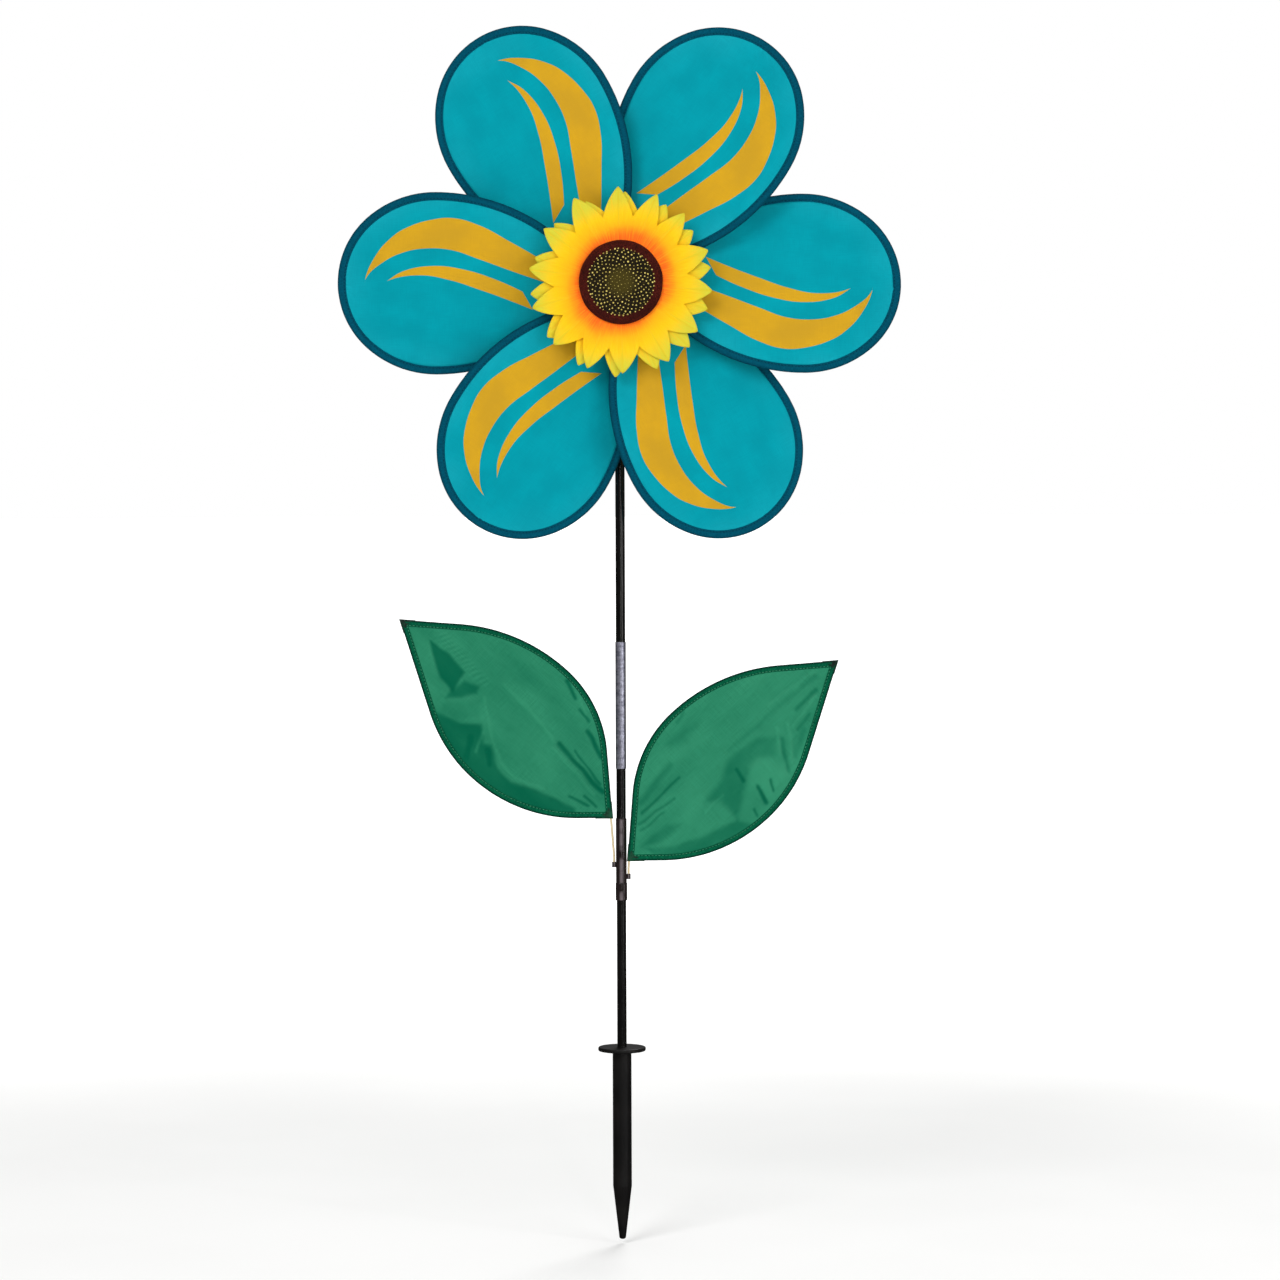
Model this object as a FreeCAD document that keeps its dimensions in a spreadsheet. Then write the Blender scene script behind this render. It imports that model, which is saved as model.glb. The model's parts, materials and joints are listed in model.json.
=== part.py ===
import FreeCAD
import Part
import Sketcher
import math
import os
import re

# A garden wind spinner.  A six-petal fabric flower turns on a level axle at the top of a two-piece
# pole.  Two fabric leaves hang from collars on the pole, and a moulded stake holds it in the ground.
#
# Frame: the origin is on the pole's axis at ground level, the underside of the stake's flange.
# +Z is up, the flower faces -Y, and +X is to its right as seen from the front.
#
# Lengths are in millimetres and angles in degrees.
SIZES = {
    # ground stake
    "stake_diameter": 16.4,
    "stake_shaft": 118.2,
    "stake_point": 47.0,
    "stake_tip_diameter": 5.4,
    "flange_diameter": 41.4,
    "flange_thickness": 3.3,
    "flange_round": 1.0,
    "stake_tip_round": 2.2,
    "socket_depth": 59.1,
    # pole
    "pole_diameter": 8.2,
    "pole_bore": 5.1,
    "pole_length": 357.0,
    "pole_gap": 0.2,
    "pole_edge_round": 0.3,
    "ferrule_diameter": 9.1,
    "ferrule_length": 110.3,
    "ferrule_round": 0.3,
    "running_fit": 0.05,
    # leaf collars and the two grips that keep them at their height
    "grip_start": 131.4,
    "lower_grip_length": 15.5,
    "lower_grip_diameter": 10.1,
    "upper_grip_length": 35.0,
    "upper_grip_diameter": 9.4,
    "grip_round": 0.6,
    "collar_height": 10.2,
    "collar_diameter": 9.4,
    "collar_gap": 0.2,
    "ear_diameter": 3.6,
    "ear_base": 2.8,
    "ear_height": 4.6,
    "stem_radius": 6.3,
    "stem_socket_depth": 3.6,
    # axle and the fitting on top of the pole
    "fitting_socket_diameter": 12.6,
    "fitting_socket_length": 24.0,
    "fitting_roof": 7.1,
    "fitting_gap": 0.1,
    "fitting_round": 0.8,
    "fitting_boss_diameter": 16.0,
    "fitting_front": 15.5,
    "fitting_rear": 9.0,
    "axle_diameter": 4.0,
    "axle_tail": 3.5,
    "axle_nose": 14.6,
    "washer_diameter": 9.6,
    "washer_thickness": 0.9,
    "washer_gap": 0.2,
    "end_cap_diameter": 9.0,
    "end_cap_length": 5.6,
    "end_cap_round": 1.8,
    # hub, whose middle is the flower's centre
    "hub_offset": 24.0,
    "hub_diameter": 40.0,
    "hub_thickness": 13.0,
    "hub_boss_diameter": 26.0,
    "hub_boss_length": 2.5,
    "hub_round": 1.5,
    "hub_bore": 6.4,
    "bush_flange": 9.0,
    "bush_flange_thickness": 0.9,
    "bush_length": 7.0,
    # petals, measured along the centre line of the bent rod in each petal's edge
    "petal_count": 6,
    "petal_pitch": 9.0,
    "petal_reach": 240.4,
    "petal_tip_radius": 73.4,
    "petal_wide_at": 158.0,
    "petal_half_width": 76.8,
    "petal_socket_angle": 36.5,
    "rod_diameter": 2.0,
    "rod_start": 10.0,
    "petal_cloth_start": 29.0,
    "cloth_thickness": 0.8,
    "binding_outer": 1.6,
    "binding_width": 7.0,
    "binding_flat": 1.4,
    "binding_clearance": 0.1,
    "panel_gap": 0.2,
    # sunflower in the middle
    "base_diameter": 48.0,
    "base_front": 18.6,
    "base_plate": 1.8,
    "base_cavity": 20.0,
    "layer_count": 14,
    "layer_thickness": 0.5,
    "layer_spacing": 1.4,
    "layer_disc_diameter": 88.0,
    "layer_petal_root": 6.0,
    "layer_turn": 92.0,
    "layer_hole": 6.2,
    "front_layer_reach": 79.0,
    "rear_layer_reach": 78.0,
    "layer_petal_width": 27.0,
    "layer_petal_wide_at": 50.0,
    "rear_layer_turn": 8.0,
    "seed_diameter": 73.0,
    "seed_side": 2.5,
    "seed_ring_inner": 57.0,
    "seed_ring_height": 6.0,
    "seed_ring_bow": 6.5,
    "seed_dome_rise": 3.5,
    "stud_diameter": 6.0,
    # leaves, measured along the centre lines of their two rods
    "leaf_angle": 43.4,
    "leaf_length": 248.0,
    "leaf_wide_at": 113.0,
    "leaf_upper_rise": 65.5,
    "leaf_lower_rise": 56.5,
    "leaf_lower_base_angle": 43.3,
    "leaf_upper_tip_angle": 39.0,
    "leaf_lower_tip_angle": 29.1,
    "leaf_lean": 4.5,
    "leaf_rod_diameter": 2.0,
    "leaf_rod_end_gap": 5.0,
    "lower_rod_start": 4.0,
    "stem_bend_radius": 60.0,
    "stem_straight": 6.9,
    "left_stem": 31.8,
    "right_stem": 4.8,
    "hem_outer": 1.5,
    "hem_width": 5.5,
    "hem_flat": 1.2,
    "hem_start": 2.2,
    "hem_end_gap": 2.7,
    "patch_thickness": 0.4,
    "base_patch_length": 8.5,
    "tip_patch_length": 8.0,
}

# Heights and frames used by several sub-parts, as expressions.  A sub-part of the head is modelled
# with +Z along the axle towards the flower's front.  A petal has +X out along its own middle line.
# A leaf has +X along the line from its base to its tip, and +Y up its upper side.
POLE_FOOT = "(flange_thickness - socket_depth)"
POLE_JOINT = f"({POLE_FOOT} + pole_length)"
POLE_TOP = f"({POLE_JOINT} + pole_gap + pole_length)"
HUB_HEIGHT = f"({POLE_TOP} + fitting_gap + fitting_roof)"
UPRIGHT = "rotation(vector(1; 0; 0); 90)"
HEAD_PLACE = f"vector(0; -hub_offset; {HUB_HEIGHT})"
HEAD_FRAME = f"placement({HEAD_PLACE}; {UPRIGHT})"
FITTING_FACE = "(fitting_front - hub_offset)"
FITTING_BACK = "(-hub_offset - fitting_rear)"
HUB_FRONT = "(hub_thickness / 2 + hub_boss_length)"
WASHER_PLACE = f"({HUB_FRONT} + bush_flange_thickness + washer_gap)"
CAP_PLACE = f"({WASHER_PLACE} + washer_thickness)"
LAYERS_PLACE = "base_front"
SEED_PLACE = "(base_front + layer_spacing + layer_thickness)"
RIGHT_COLLAR = "(grip_start + lower_grip_length + collar_gap)"
LEFT_COLLAR = f"({RIGHT_COLLAR} + collar_height + collar_gap)"
GRIP_ABOVE = f"({LEFT_COLLAR} + collar_height + collar_gap)"
SOCKET_FLOOR = "(ear_base + ear_height - stem_socket_depth)"
LEAF_UPPER_BASE = "(90 - leaf_angle - leaf_lean)"

# Two lengths closer than this are the same length.
TOUCH = 0.001


# ---------------------------------------------------------------- document, sheet and sketch tools

def bind(text):
    """An expression in which every sheet alias is written in full."""
    return re.sub(r"[a-z_]+", lambda m: "Sizes." + m[0] if m[0] in SIZES else m[0], str(text))


def make_sheet(doc):
    sheet = doc.addObject("Spreadsheet::Sheet", "Sizes")
    for row, (name, value) in enumerate(SIZES.items(), start=1):
        sheet.set(f"A{row}", name)
        sheet.set(f"B{row}", str(value))
        sheet.setAlias(f"B{row}", name)
    doc.recompute()


def new_body(doc, label, frame=None):
    body = doc.addObject("PartDesign::Body", label)
    body.Label = label
    if frame:
        body.setExpression("Placement", bind(frame))
    return body


def origin_feature(body, role):
    return next(item for item in body.Origin.OriginFeatures if item.Role == role)


def new_sketch(body, role, name, offset=None):
    """A sketch on one of the body's origin planes, raised along the plane's normal by offset."""
    sketch = body.newObject("Sketcher::SketchObject", name)
    sketch.AttachmentSupport = (origin_feature(body, role), [""])
    sketch.MapMode = "FlatFace"
    if offset:
        sketch.setExpression("AttachmentOffset.Base.z", bind(offset))
    return sketch


def bound(sketch, text, *constraint):
    """Adds a constraint whose value comes from the sheet."""
    index = sketch.addConstraint(Sketcher.Constraint(*constraint))
    sketch.setExpression(f"Constraints[{index}]", bind(text))


def value(sketch, text):
    """What an expression comes to, as a plain number."""
    return float(sketch.evalExpression(bind(text)))


def anchors(sketch, points):
    """Construction points at (x, y) expressions; returns their indices and solved positions."""
    indices = []
    for order, (x, y) in enumerate(points, start=1):
        index = sketch.addGeometry(Part.Point(FreeCAD.Vector(order, order, 0)), True)
        bound(sketch, x, "DistanceX", -1, 1, index, 1, float(order))
        bound(sketch, y, "DistanceY", -1, 1, index, 1, float(order))
        indices.append(index)
    sketch.recompute()
    spots = [FreeCAD.Vector(sketch.Geometry[i].X, sketch.Geometry[i].Y, 0) for i in indices]
    return indices, spots


def nearest_end(sketch, index, spot):
    """1 if the curve starts nearest to spot, 2 if it ends there."""
    curve = sketch.Geometry[index]
    return 1 if curve.StartPoint.distanceToPoint(spot) < curve.EndPoint.distanceToPoint(spot) else 2


def join(sketch, kind, first, second, spot):
    """Ties the ends of two curves that meet at spot: Coincident, or Tangent as well."""
    ends = (first, nearest_end(sketch, first, spot), second, nearest_end(sketch, second, spot))
    sketch.addConstraint(Sketcher.Constraint(kind, *ends))


def pin(sketch, curve, anchor, spot):
    sketch.addConstraint(
        Sketcher.Constraint("Coincident", curve, nearest_end(sketch, curve, spot), anchor, 1)
    )


def line(sketch, first, second):
    return sketch.addGeometry(Part.LineSegment(first, second))


def arc(sketch, centre, first, second):
    """The arc about centre from first counter-clockwise to second."""
    start = math.atan2(first.y - centre.y, first.x - centre.x)
    end = math.atan2(second.y - centre.y, second.x - centre.x)
    if end <= start:
        end += 2 * math.pi
    circle = Part.Circle(centre, FreeCAD.Vector(0, 0, 1), centre.distanceToPoint(first))
    return sketch.addGeometry(Part.ArcOfCircle(circle, start, end))


def outline(sketch, corners, closed=True):
    """An outline through corners (x, y, bend), all expressions.

    bend is the radius of the arc from its corner to the next one, negative where the arc turns
    clockwise.  It is left out for a straight line.
    """
    marks, spots = anchors(sketch, [corner[:2] for corner in corners])
    sides = len(corners) if closed else len(corners) - 1
    for order in range(sides):
        after = (order + 1) % len(corners)
        here, there = spots[order], spots[after]
        if len(corners[order]) == 2:
            side = line(sketch, here, there)
        else:
            bend = value(sketch, corners[order][2])
            half = (there - here) / 2
            rise = math.sqrt(max(bend * bend - half.dot(half), 0.0))
            left = FreeCAD.Vector(-half.y, half.x, 0).normalize()
            centre = here + half + left * math.copysign(rise, bend)
            ends = (here, there) if bend > 0 else (there, here)
            side = arc(sketch, centre, *ends)
            bound(sketch, f"abs({corners[order][2]})", "Radius", side, abs(bend))
        pin(sketch, side, marks[order], here)
        pin(sketch, side, marks[after], there)


def swelling(sketch, foot, slope, top):
    """A straight line from foot at slope degrees, then a tangent arc that is level at top."""
    (foot_mark, top_mark), (low, high) = anchors(sketch, [foot, top])
    degrees = value(sketch, slope)
    turn = math.radians(degrees)
    side = math.copysign(1.0, math.sin(turn))
    out = FreeCAD.Vector(-math.sin(turn), math.cos(turn), 0)
    if out.y * side < 0:
        out = -out
    radius = out.dot(high - low) / (out.y * side - 1)
    centre = high - FreeCAD.Vector(0, side * radius, 0)
    touch = centre + out * radius
    straight = line(sketch, low, touch)
    ends = (high, touch) if (high.x - low.x) * side > 0 else (touch, high)
    bow = arc(sketch, centre, *ends)
    pin(sketch, straight, foot_mark, low)
    pin(sketch, bow, top_mark, high)
    bound(sketch, f"({slope}) * 1deg", "Angle", straight, turn)
    join(sketch, "Tangent", straight, bow, touch)
    sketch.addConstraint(Sketcher.Constraint("Vertical", bow, 3, top_mark, 1))
    return top_mark


def circle(sketch, diameter, x="0", y="0"):
    (mark,), (spot,) = anchors(sketch, [(x, y)])
    index = sketch.addGeometry(Part.Circle(spot, FreeCAD.Vector(0, 0, 1), 1.0))
    sketch.addConstraint(Sketcher.Constraint("Coincident", index, 3, mark, 1))
    bound(sketch, diameter, "Diameter", index, 2.0)


# ---------------------------------------------------------------- feature tools

def revolve(body, points, name="Turned"):
    """A solid of revolution about the body's Z axis from (radius, height) expressions."""
    sketch = new_sketch(body, "XZ_Plane", name + "Profile")
    outline(sketch, points)
    turned = body.newObject("PartDesign::Revolution", name)
    turned.Profile = sketch
    turned.ReferenceAxis = (sketch, ["V_Axis"])
    turned.Angle = 360
    return turned


def extrude(body, sketch, length, name, other_way="0", cut=False):
    """Pads or pockets a sketch by length along its normal and by other_way behind it."""
    kind = "PartDesign::Pocket" if cut else "PartDesign::Pad"
    feature = body.newObject(kind, name)
    feature.Profile = sketch
    feature.SideType = "Two sides"
    ahead, behind = (other_way, length) if cut else (length, other_way)
    feature.setExpression("Length", bind(ahead))
    feature.setExpression("Length2", bind(behind))
    return feature


def polar(body, features, count, name="Around"):
    pattern = body.newObject("PartDesign::PolarPattern", name)
    pattern.Originals = features
    pattern.Axis = (origin_feature(body, "Z_Axis"), [""])
    pattern.Angle = 360
    pattern.setExpression("Occurrences", bind(count))
    body.Tip = pattern
    return pattern


def mirror(body, features, role, name="Mirror"):
    other = body.newObject("PartDesign::Mirrored", name)
    other.Originals = features
    other.MirrorPlane = (origin_feature(body, role), [""])
    body.Tip = other
    return other


def sweep(body, profile, spine, name, cut=False):
    kind = "PartDesign::SubtractivePipe" if cut else "PartDesign::AdditivePipe"
    pipe = body.newObject(kind, name)
    pipe.Profile = profile
    pipe.Spine = (spine, [])
    return pipe


def round_rims(body, radius, rims, name="Rounded"):
    """Fillets the round edges about the body's Z axis at (diameter, height) expressions."""
    body.Document.recompute()
    base = body.Tip
    sizes = [(value(base, diameter) / 2, value(base, height)) for diameter, height in rims]
    names = []
    for order, edge in enumerate(base.Shape.Edges, start=1):
        curve = edge.Curve
        if not isinstance(curve, Part.Circle):
            continue
        for wide, high in sizes:
            if abs(curve.Radius - wide) < TOUCH and abs(curve.Center.z - high) < TOUCH:
                names.append(f"Edge{order}")
    if len(names) < len(rims):
        raise RuntimeError(f"{body.Label}: a rim to round was not found")
    fillet = body.newObject("PartDesign::Fillet", name)
    fillet.Base = (base, names)
    fillet.setExpression("Radius", bind(radius))
    body.Tip = fillet
    return fillet


def placed(height, turn="0"):
    return f"placement(vector(0; 0; {height}); rotation(vector(0; 0; 1); {turn}))"


def tube(doc, label, outer, inner, length, frame, start="0", rounding=None):
    """A plain tube along its frame's Z axis from start, with both outer rims rounded."""
    body = new_body(doc, label, frame)
    end = f"{start} + {length}"
    wide, bore = f"{outer} / 2", f"({inner}) / 2"
    revolve(body, [(bore, start), (wide, start), (wide, end), (bore, end)])
    if rounding:
        round_rims(body, rounding, [(outer, start), (outer, end)])
    return body


# ---------------------------------------------------------------- stake

def ground_stake(doc):
    body = new_body(doc, "ground_stake")
    bore = "pole_diameter / 2 + running_fit"
    shaft = "-stake_shaft"
    point = "-stake_shaft - stake_point"
    revolve(body, [
        (bore, "flange_thickness"),
        (bore, POLE_FOOT),
        ("0", POLE_FOOT),
        ("0", point),
        ("stake_tip_diameter / 2", point),
        ("stake_diameter / 2", shaft),
        ("stake_diameter / 2", "0"),
        ("flange_diameter / 2", "0"),
        ("flange_diameter / 2", "flange_thickness"),
    ])
    round_rims(body, "stake_tip_round", [("stake_tip_diameter", point)], "RoundedTip")
    rims = [("flange_diameter", "0"), ("flange_diameter", "flange_thickness")]
    round_rims(body, "flange_round", rims, "RoundedFlange")
    return body


# ---------------------------------------------------------------- poles

def pole_parts(doc):
    fit = "2 * running_fit"
    round_by = "pole_edge_round"
    tube(doc, "lower_pole", "pole_diameter", "pole_bore", "pole_length", placed(POLE_FOOT),
         rounding=round_by)
    tube(doc, "upper_pole", "pole_diameter", "pole_bore", "pole_length",
         placed(f"{POLE_JOINT} + pole_gap"), rounding=round_by)
    tube(doc, "pole_ferrule", "ferrule_diameter", f"pole_diameter + {fit}", "ferrule_length",
         placed(f"{POLE_JOINT} + pole_gap / 2 - ferrule_length / 2"), rounding="ferrule_round")
    tube(doc, "lower_leaf_grip", "lower_grip_diameter", f"pole_diameter + {fit}",
         "lower_grip_length", placed("grip_start"), rounding="grip_round")
    tube(doc, "upper_leaf_grip", "upper_grip_diameter", f"pole_diameter + {fit}",
         "upper_grip_length", placed(GRIP_ABOVE), rounding="ferrule_round")


# ---------------------------------------------------------------- fitting, axle, washers and caps

def pole_top_fitting(doc):
    """A socket for the pole's top with a level boss across it for the axle."""
    body = new_body(doc, "pole_top_fitting", placed(HUB_HEIGHT))
    socket_top = "-fitting_roof - fitting_gap"
    foot = f"{socket_top} - fitting_socket_length"
    wide = "fitting_socket_diameter / 2"
    revolve(body, [("0", foot), (wide, foot), (wide, "0"), ("0", "0")], "Socket")

    boss = new_sketch(body, "XZ_Plane", "BossOutline")
    circle(boss, "fitting_boss_diameter")
    extrude(body, boss, "fitting_front", "Boss", other_way="fitting_rear")

    bore = new_sketch(body, "XZ_Plane", "AxleHoleOutline")
    circle(bore, "axle_diameter + 2 * running_fit")
    extrude(body, bore, "fitting_front", "AxleHole", other_way="fitting_rear", cut=True)

    mouth = new_sketch(body, "XY_Plane", "PoleHoleOutline", offset=foot)
    circle(mouth, "pole_diameter + 2 * running_fit")
    extrude(body, mouth, "fitting_socket_length", "PoleHole", cut=True)
    round_rims(body, "fitting_round", [("fitting_socket_diameter", foot)])
    return body


def axle_parts(doc):
    axle = new_body(doc, "axle", HEAD_FRAME)
    rod = "axle_diameter / 2"
    tail = f"{FITTING_BACK} - axle_tail"
    revolve(axle, [("0", tail), (rod, tail), (rod, "axle_nose"), ("0", "axle_nose")])
    round_rims(axle, "pole_edge_round", [("axle_diameter", tail), ("axle_diameter", "axle_nose")])

    hole = "axle_diameter + 2 * running_fit"
    for label, place in (("rear_washer", FITTING_FACE), ("front_washer", WASHER_PLACE)):
        tube(doc, label, "washer_diameter", hole, "washer_thickness", HEAD_FRAME, start=place)

    axle_cap(doc, "axle_front_cap", CAP_PLACE, f"({CAP_PLACE} + end_cap_length)", "axle_nose")
    axle_cap(doc, "axle_rear_cap", FITTING_BACK, f"({FITTING_BACK} - end_cap_length)", tail)


def axle_cap(doc, label, face, crown, rod_end):
    """A domed push-on cap from face out to crown, bored as far as the end of the axle."""
    body = new_body(doc, label, HEAD_FRAME)
    bore = "axle_diameter / 2 + running_fit"
    wide = "end_cap_diameter / 2"
    revolve(body, [
        (bore, face), (wide, face), (wide, crown), ("0", crown), ("0", rod_end), (bore, rod_end),
    ])
    round_rims(body, "end_cap_round", [("end_cap_diameter", crown)])
    return body


# ---------------------------------------------------------------- hub

def hub(doc):
    """The turned hub, with a socket in its rim for each end of each petal's rod."""
    body = new_body(doc, "hub", HEAD_FRAME)
    back, front = "-hub_thickness / 2", "hub_thickness / 2"
    bore, wide, step = "hub_bore / 2", "hub_diameter / 2", "hub_boss_diameter / 2"
    revolve(body, [
        (bore, back), (wide, back), (wide, front), (step, front), (step, HUB_FRONT),
        (bore, HUB_FRONT),
    ])
    round_rims(body, "hub_round", [("hub_diameter", back), ("hub_diameter", front)])
    for name, side in (("SocketAhead", "-"), ("SocketBehind", "")):
        socket = body.newObject("PartDesign::SubtractiveCylinder", name)
        socket.setExpression("Radius", bind("rod_diameter / 2 + running_fit"))
        socket.setExpression("Height", bind("hub_diameter / 2"))
        aim = (
            "rotation(vector(1; 0; 0); -petal_pitch)"
            f" * rotation(vector(0; 0; 1); {side}petal_socket_angle)"
            " * rotation(vector(0; 1; 0); 90)"
        )
        socket.setExpression(
            "Placement", bind(f"placement(vector(0; 0; 0); {aim}) * {placed('rod_start')}")
        )
        polar(body, [socket], "petal_count", name + "Ring")
    return body


def hub_bushes(doc):
    """Two flanged bushes that line the hub's bore, one pushed in from each face."""
    bore, wide, lip = "axle_diameter / 2 + running_fit", "hub_bore / 2", "bush_flange / 2"
    sides = (("hub_rear_bush", "-hub_thickness / 2", "-"), ("hub_front_bush", HUB_FRONT, "+"))
    for label, face, out in sides:
        body = new_body(doc, label, HEAD_FRAME)
        inner = f"{face} + bush_length" if out == "-" else f"{face} - bush_length"
        rim = f"{face} {out} bush_flange_thickness"
        revolve(body, [(bore, inner), (wide, inner), (wide, face), (lip, face), (lip, rim),
                       (bore, rim)])


# ---------------------------------------------------------------- sunflower

def flower_base(doc):
    """The cup that sits over the hub's boss and carries the sunflower clear of the axle's end."""
    body = new_body(doc, "flower_base", HEAD_FRAME)
    back, floor = "hub_thickness / 2", "base_front - base_plate"
    step, cavity = "hub_boss_diameter / 2 + running_fit", "base_cavity / 2"
    wide, hole = "base_diameter / 2", "layer_hole / 2"
    revolve(body, [
        (step, back), (wide, back), (wide, "base_front"), (hole, "base_front"), (hole, floor),
        (cavity, floor), (cavity, HUB_FRONT), (step, HUB_FRONT),
    ])
    round_rims(body, "hub_round", [("base_diameter", back)])
    return body


def sunflower_layer(doc, label, reach, place, turn):
    """One die-cut layer of silk: a disc with a ring of pointed petals."""
    body = new_body(doc, label, f"{HEAD_FRAME} * {placed(place, turn)}")
    disc = new_sketch(body, "XY_Plane", "DiscOutline")
    circle(disc, "layer_disc_diameter")
    extrude(body, disc, "layer_thickness", "Disc")

    half, wide_at = "layer_petal_width / 2", "layer_petal_wide_at"
    inner = "layer_disc_diameter / 2 - layer_petal_root"
    bow = f"((({reach} - {wide_at}) ^ 2 + ({half}) ^ 2) / layer_petal_width)"
    petal = new_sketch(body, "XY_Plane", "PetalOutline")
    outline(petal, [
        (inner, f"-{half}"),
        (wide_at, f"-{half}", bow),
        (reach, "0", bow),
        (wide_at, half),
        (inner, half),
    ])
    pad = extrude(body, petal, "layer_thickness", "Petal")
    polar(body, [pad], "layer_count")

    hole = new_sketch(body, "XY_Plane", "HoleOutline")
    circle(hole, "layer_hole")
    extrude(body, hole, "layer_thickness", "Hole", other_way="layer_thickness", cut=True)
    return body


def seed_head(doc):
    """The raised disc of seeds inside a rounded ring, on a stud that holds the layers on."""
    body = new_body(doc, "seed_head", HEAD_FRAME)
    stud, wide, ring = "stud_diameter / 2", "seed_diameter / 2", "seed_ring_inner / 2"
    foot = "base_front - base_plate"
    side, groove = f"{SEED_PLACE} + seed_side", f"{SEED_PLACE} + seed_ring_height"
    dome = f"((({ring}) ^ 2 + seed_dome_rise ^ 2) / (2 * seed_dome_rise))"
    revolve(body, [
        ("0", foot),
        (stud, foot),
        (stud, SEED_PLACE),
        (wide, SEED_PLACE),
        (wide, side, "seed_ring_bow"),
        (ring, groove, dome),
        ("0", f"{groove} + seed_dome_rise"),
    ])
    return body


def sunflower(doc):
    flower_base(doc)
    sunflower_layer(doc, "sunflower_rear_layer", "rear_layer_reach", LAYERS_PLACE,
                    "layer_turn - rear_layer_turn")
    sunflower_layer(doc, "sunflower_front_layer", "front_layer_reach",
                    f"({LAYERS_PLACE} + layer_spacing)", "layer_turn")
    seed_head(doc)


# ---------------------------------------------------------------- petals

def petal_frame(number):
    turn = f"rotation(vector(0; 0; 1); {number - 1} * 360 / petal_count)"
    pitch = "rotation(vector(1; 0; 0); -petal_pitch)"
    return f"placement({HEAD_PLACE}; {UPRIGHT} * {turn} * {pitch})"


def petal_edge(sketch, inset, start):
    """Half a petal's edge, from the middle of its tip in to start, inset from the rod's line.

    The tip's arc and the one beside it meet in a tangent; the rest swells from a straight line.
    """
    slope = "petal_socket_angle"
    foot = (
        f"({start}) * cos({slope} * 1deg) + ({inset}) * sin({slope} * 1deg)",
        f"({start}) * sin({slope} * 1deg) - ({inset}) * cos({slope} * 1deg)",
    )
    top = ("petal_wide_at", f"petal_half_width - ({inset})")
    top_mark = swelling(sketch, foot, slope, top)
    tip_mark = anchors(sketch, [(f"petal_reach - ({inset})", "0")])[0][0]

    high = FreeCAD.Vector(*(value(sketch, part) for part in top), 0)
    tip = FreeCAD.Vector(value(sketch, f"petal_reach - ({inset})"), 0, 0)
    small = value(sketch, f"petal_tip_radius - ({inset})")
    middle = FreeCAD.Vector(tip.x - small, 0, 0)
    across = high.x - middle.x
    large = (across ** 2 + high.y ** 2 - small ** 2) / (2 * (high.y - small))
    centre = FreeCAD.Vector(high.x, high.y - large, 0)
    touch = middle + (middle - centre).normalize() * small

    shoulder = arc(sketch, centre, touch, high)
    crown = arc(sketch, middle, tip, touch)
    pin(sketch, shoulder, top_mark, high)
    pin(sketch, crown, tip_mark, tip)
    join(sketch, "Tangent", crown, shoulder, touch)
    sketch.addConstraint(Sketcher.Constraint("Vertical", shoulder, 3, top_mark, 1))
    sketch.addConstraint(Sketcher.Constraint("PointOnObject", crown, 3, -1))
    bound(sketch, f"petal_tip_radius - ({inset})", "Radius", crown, small)
    return foot, tip_mark


def petal_spine(body, start):
    sketch = new_sketch(body, "XY_Plane", "EdgeLine")
    petal_edge(sketch, "0", start)
    return sketch


def fold_section(sketch, middle, way, outer, reach, flat):
    """The section of a folded edging: a round fold about middle, and a flat tail that runs in
    towards the sketch's middle.  way is "-" where the edging lies on the sketch's negative side.
    """
    corner = f"{way}sqrt(({outer}) ^ 2 - ({flat} / 2) ^ 2)"
    high, low = (f"{flat} / 2", f"-{flat} / 2")
    turn = f"{way}{outer}"
    outline(sketch, [
        (f"{middle} - ({corner})", high),
        (f"{middle} - ({way}{reach})", high),
        (f"{middle} - ({way}{reach})", low),
        (f"{middle} - ({corner})", low, turn),
        (middle, f"-{outer}", turn),
        (f"{middle} + ({way}{outer})", "0", turn),
        (middle, outer, turn),
    ])


def petal(doc, number):
    """A petal: one bent rod, the edging sewn round it, and the cloth inside the edging."""
    frame = petal_frame(number)
    tip = "petal_reach"

    rod = new_body(doc, f"petal_{number}_rod", frame)
    spine = petal_spine(rod, "rod_start")
    section = new_sketch(rod, "XZ_Plane", "RodSection")
    circle(section, "rod_diameter", x=tip)
    mirror(rod, [sweep(rod, section, spine, "HalfRod")], "XZ_Plane")

    binding = new_body(doc, f"petal_{number}_binding", frame)
    spine = petal_spine(binding, "petal_cloth_start")
    section = new_sketch(binding, "XZ_Plane", "BindingSection")
    tail = "(binding_width - binding_outer)"
    fold_section(section, tip, "", "binding_outer", tail, "binding_flat")
    circle(section, "rod_diameter + 2 * binding_clearance", x=tip)
    mirror(binding, [sweep(binding, section, spine, "HalfBinding")], "XZ_Plane")

    panel = new_body(doc, f"petal_{number}_panel", frame)
    cloth = new_sketch(panel, "XY_Plane", "HalfClothOutline")
    inset = f"{tail} + panel_gap"
    foot, tip_mark = petal_edge(cloth, inset, "petal_cloth_start")
    (root, corner), spots = anchors(cloth, [(foot[0], "0"), foot])
    tip_spot = FreeCAD.Vector(value(cloth, f"petal_reach - ({inset})"), 0, 0)
    ends = ((spots[0], spots[1], root, corner), (spots[0], tip_spot, root, tip_mark))
    for here, there, first, second in ends:
        side = line(cloth, here, there)
        pin(cloth, side, first, here)
        pin(cloth, side, second, there)
    half = extrude(panel, cloth, "cloth_thickness / 2", "HalfCloth",
                   other_way="cloth_thickness / 2")
    mirror(panel, [half], "XZ_Plane")


# ---------------------------------------------------------------- leaves

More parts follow.
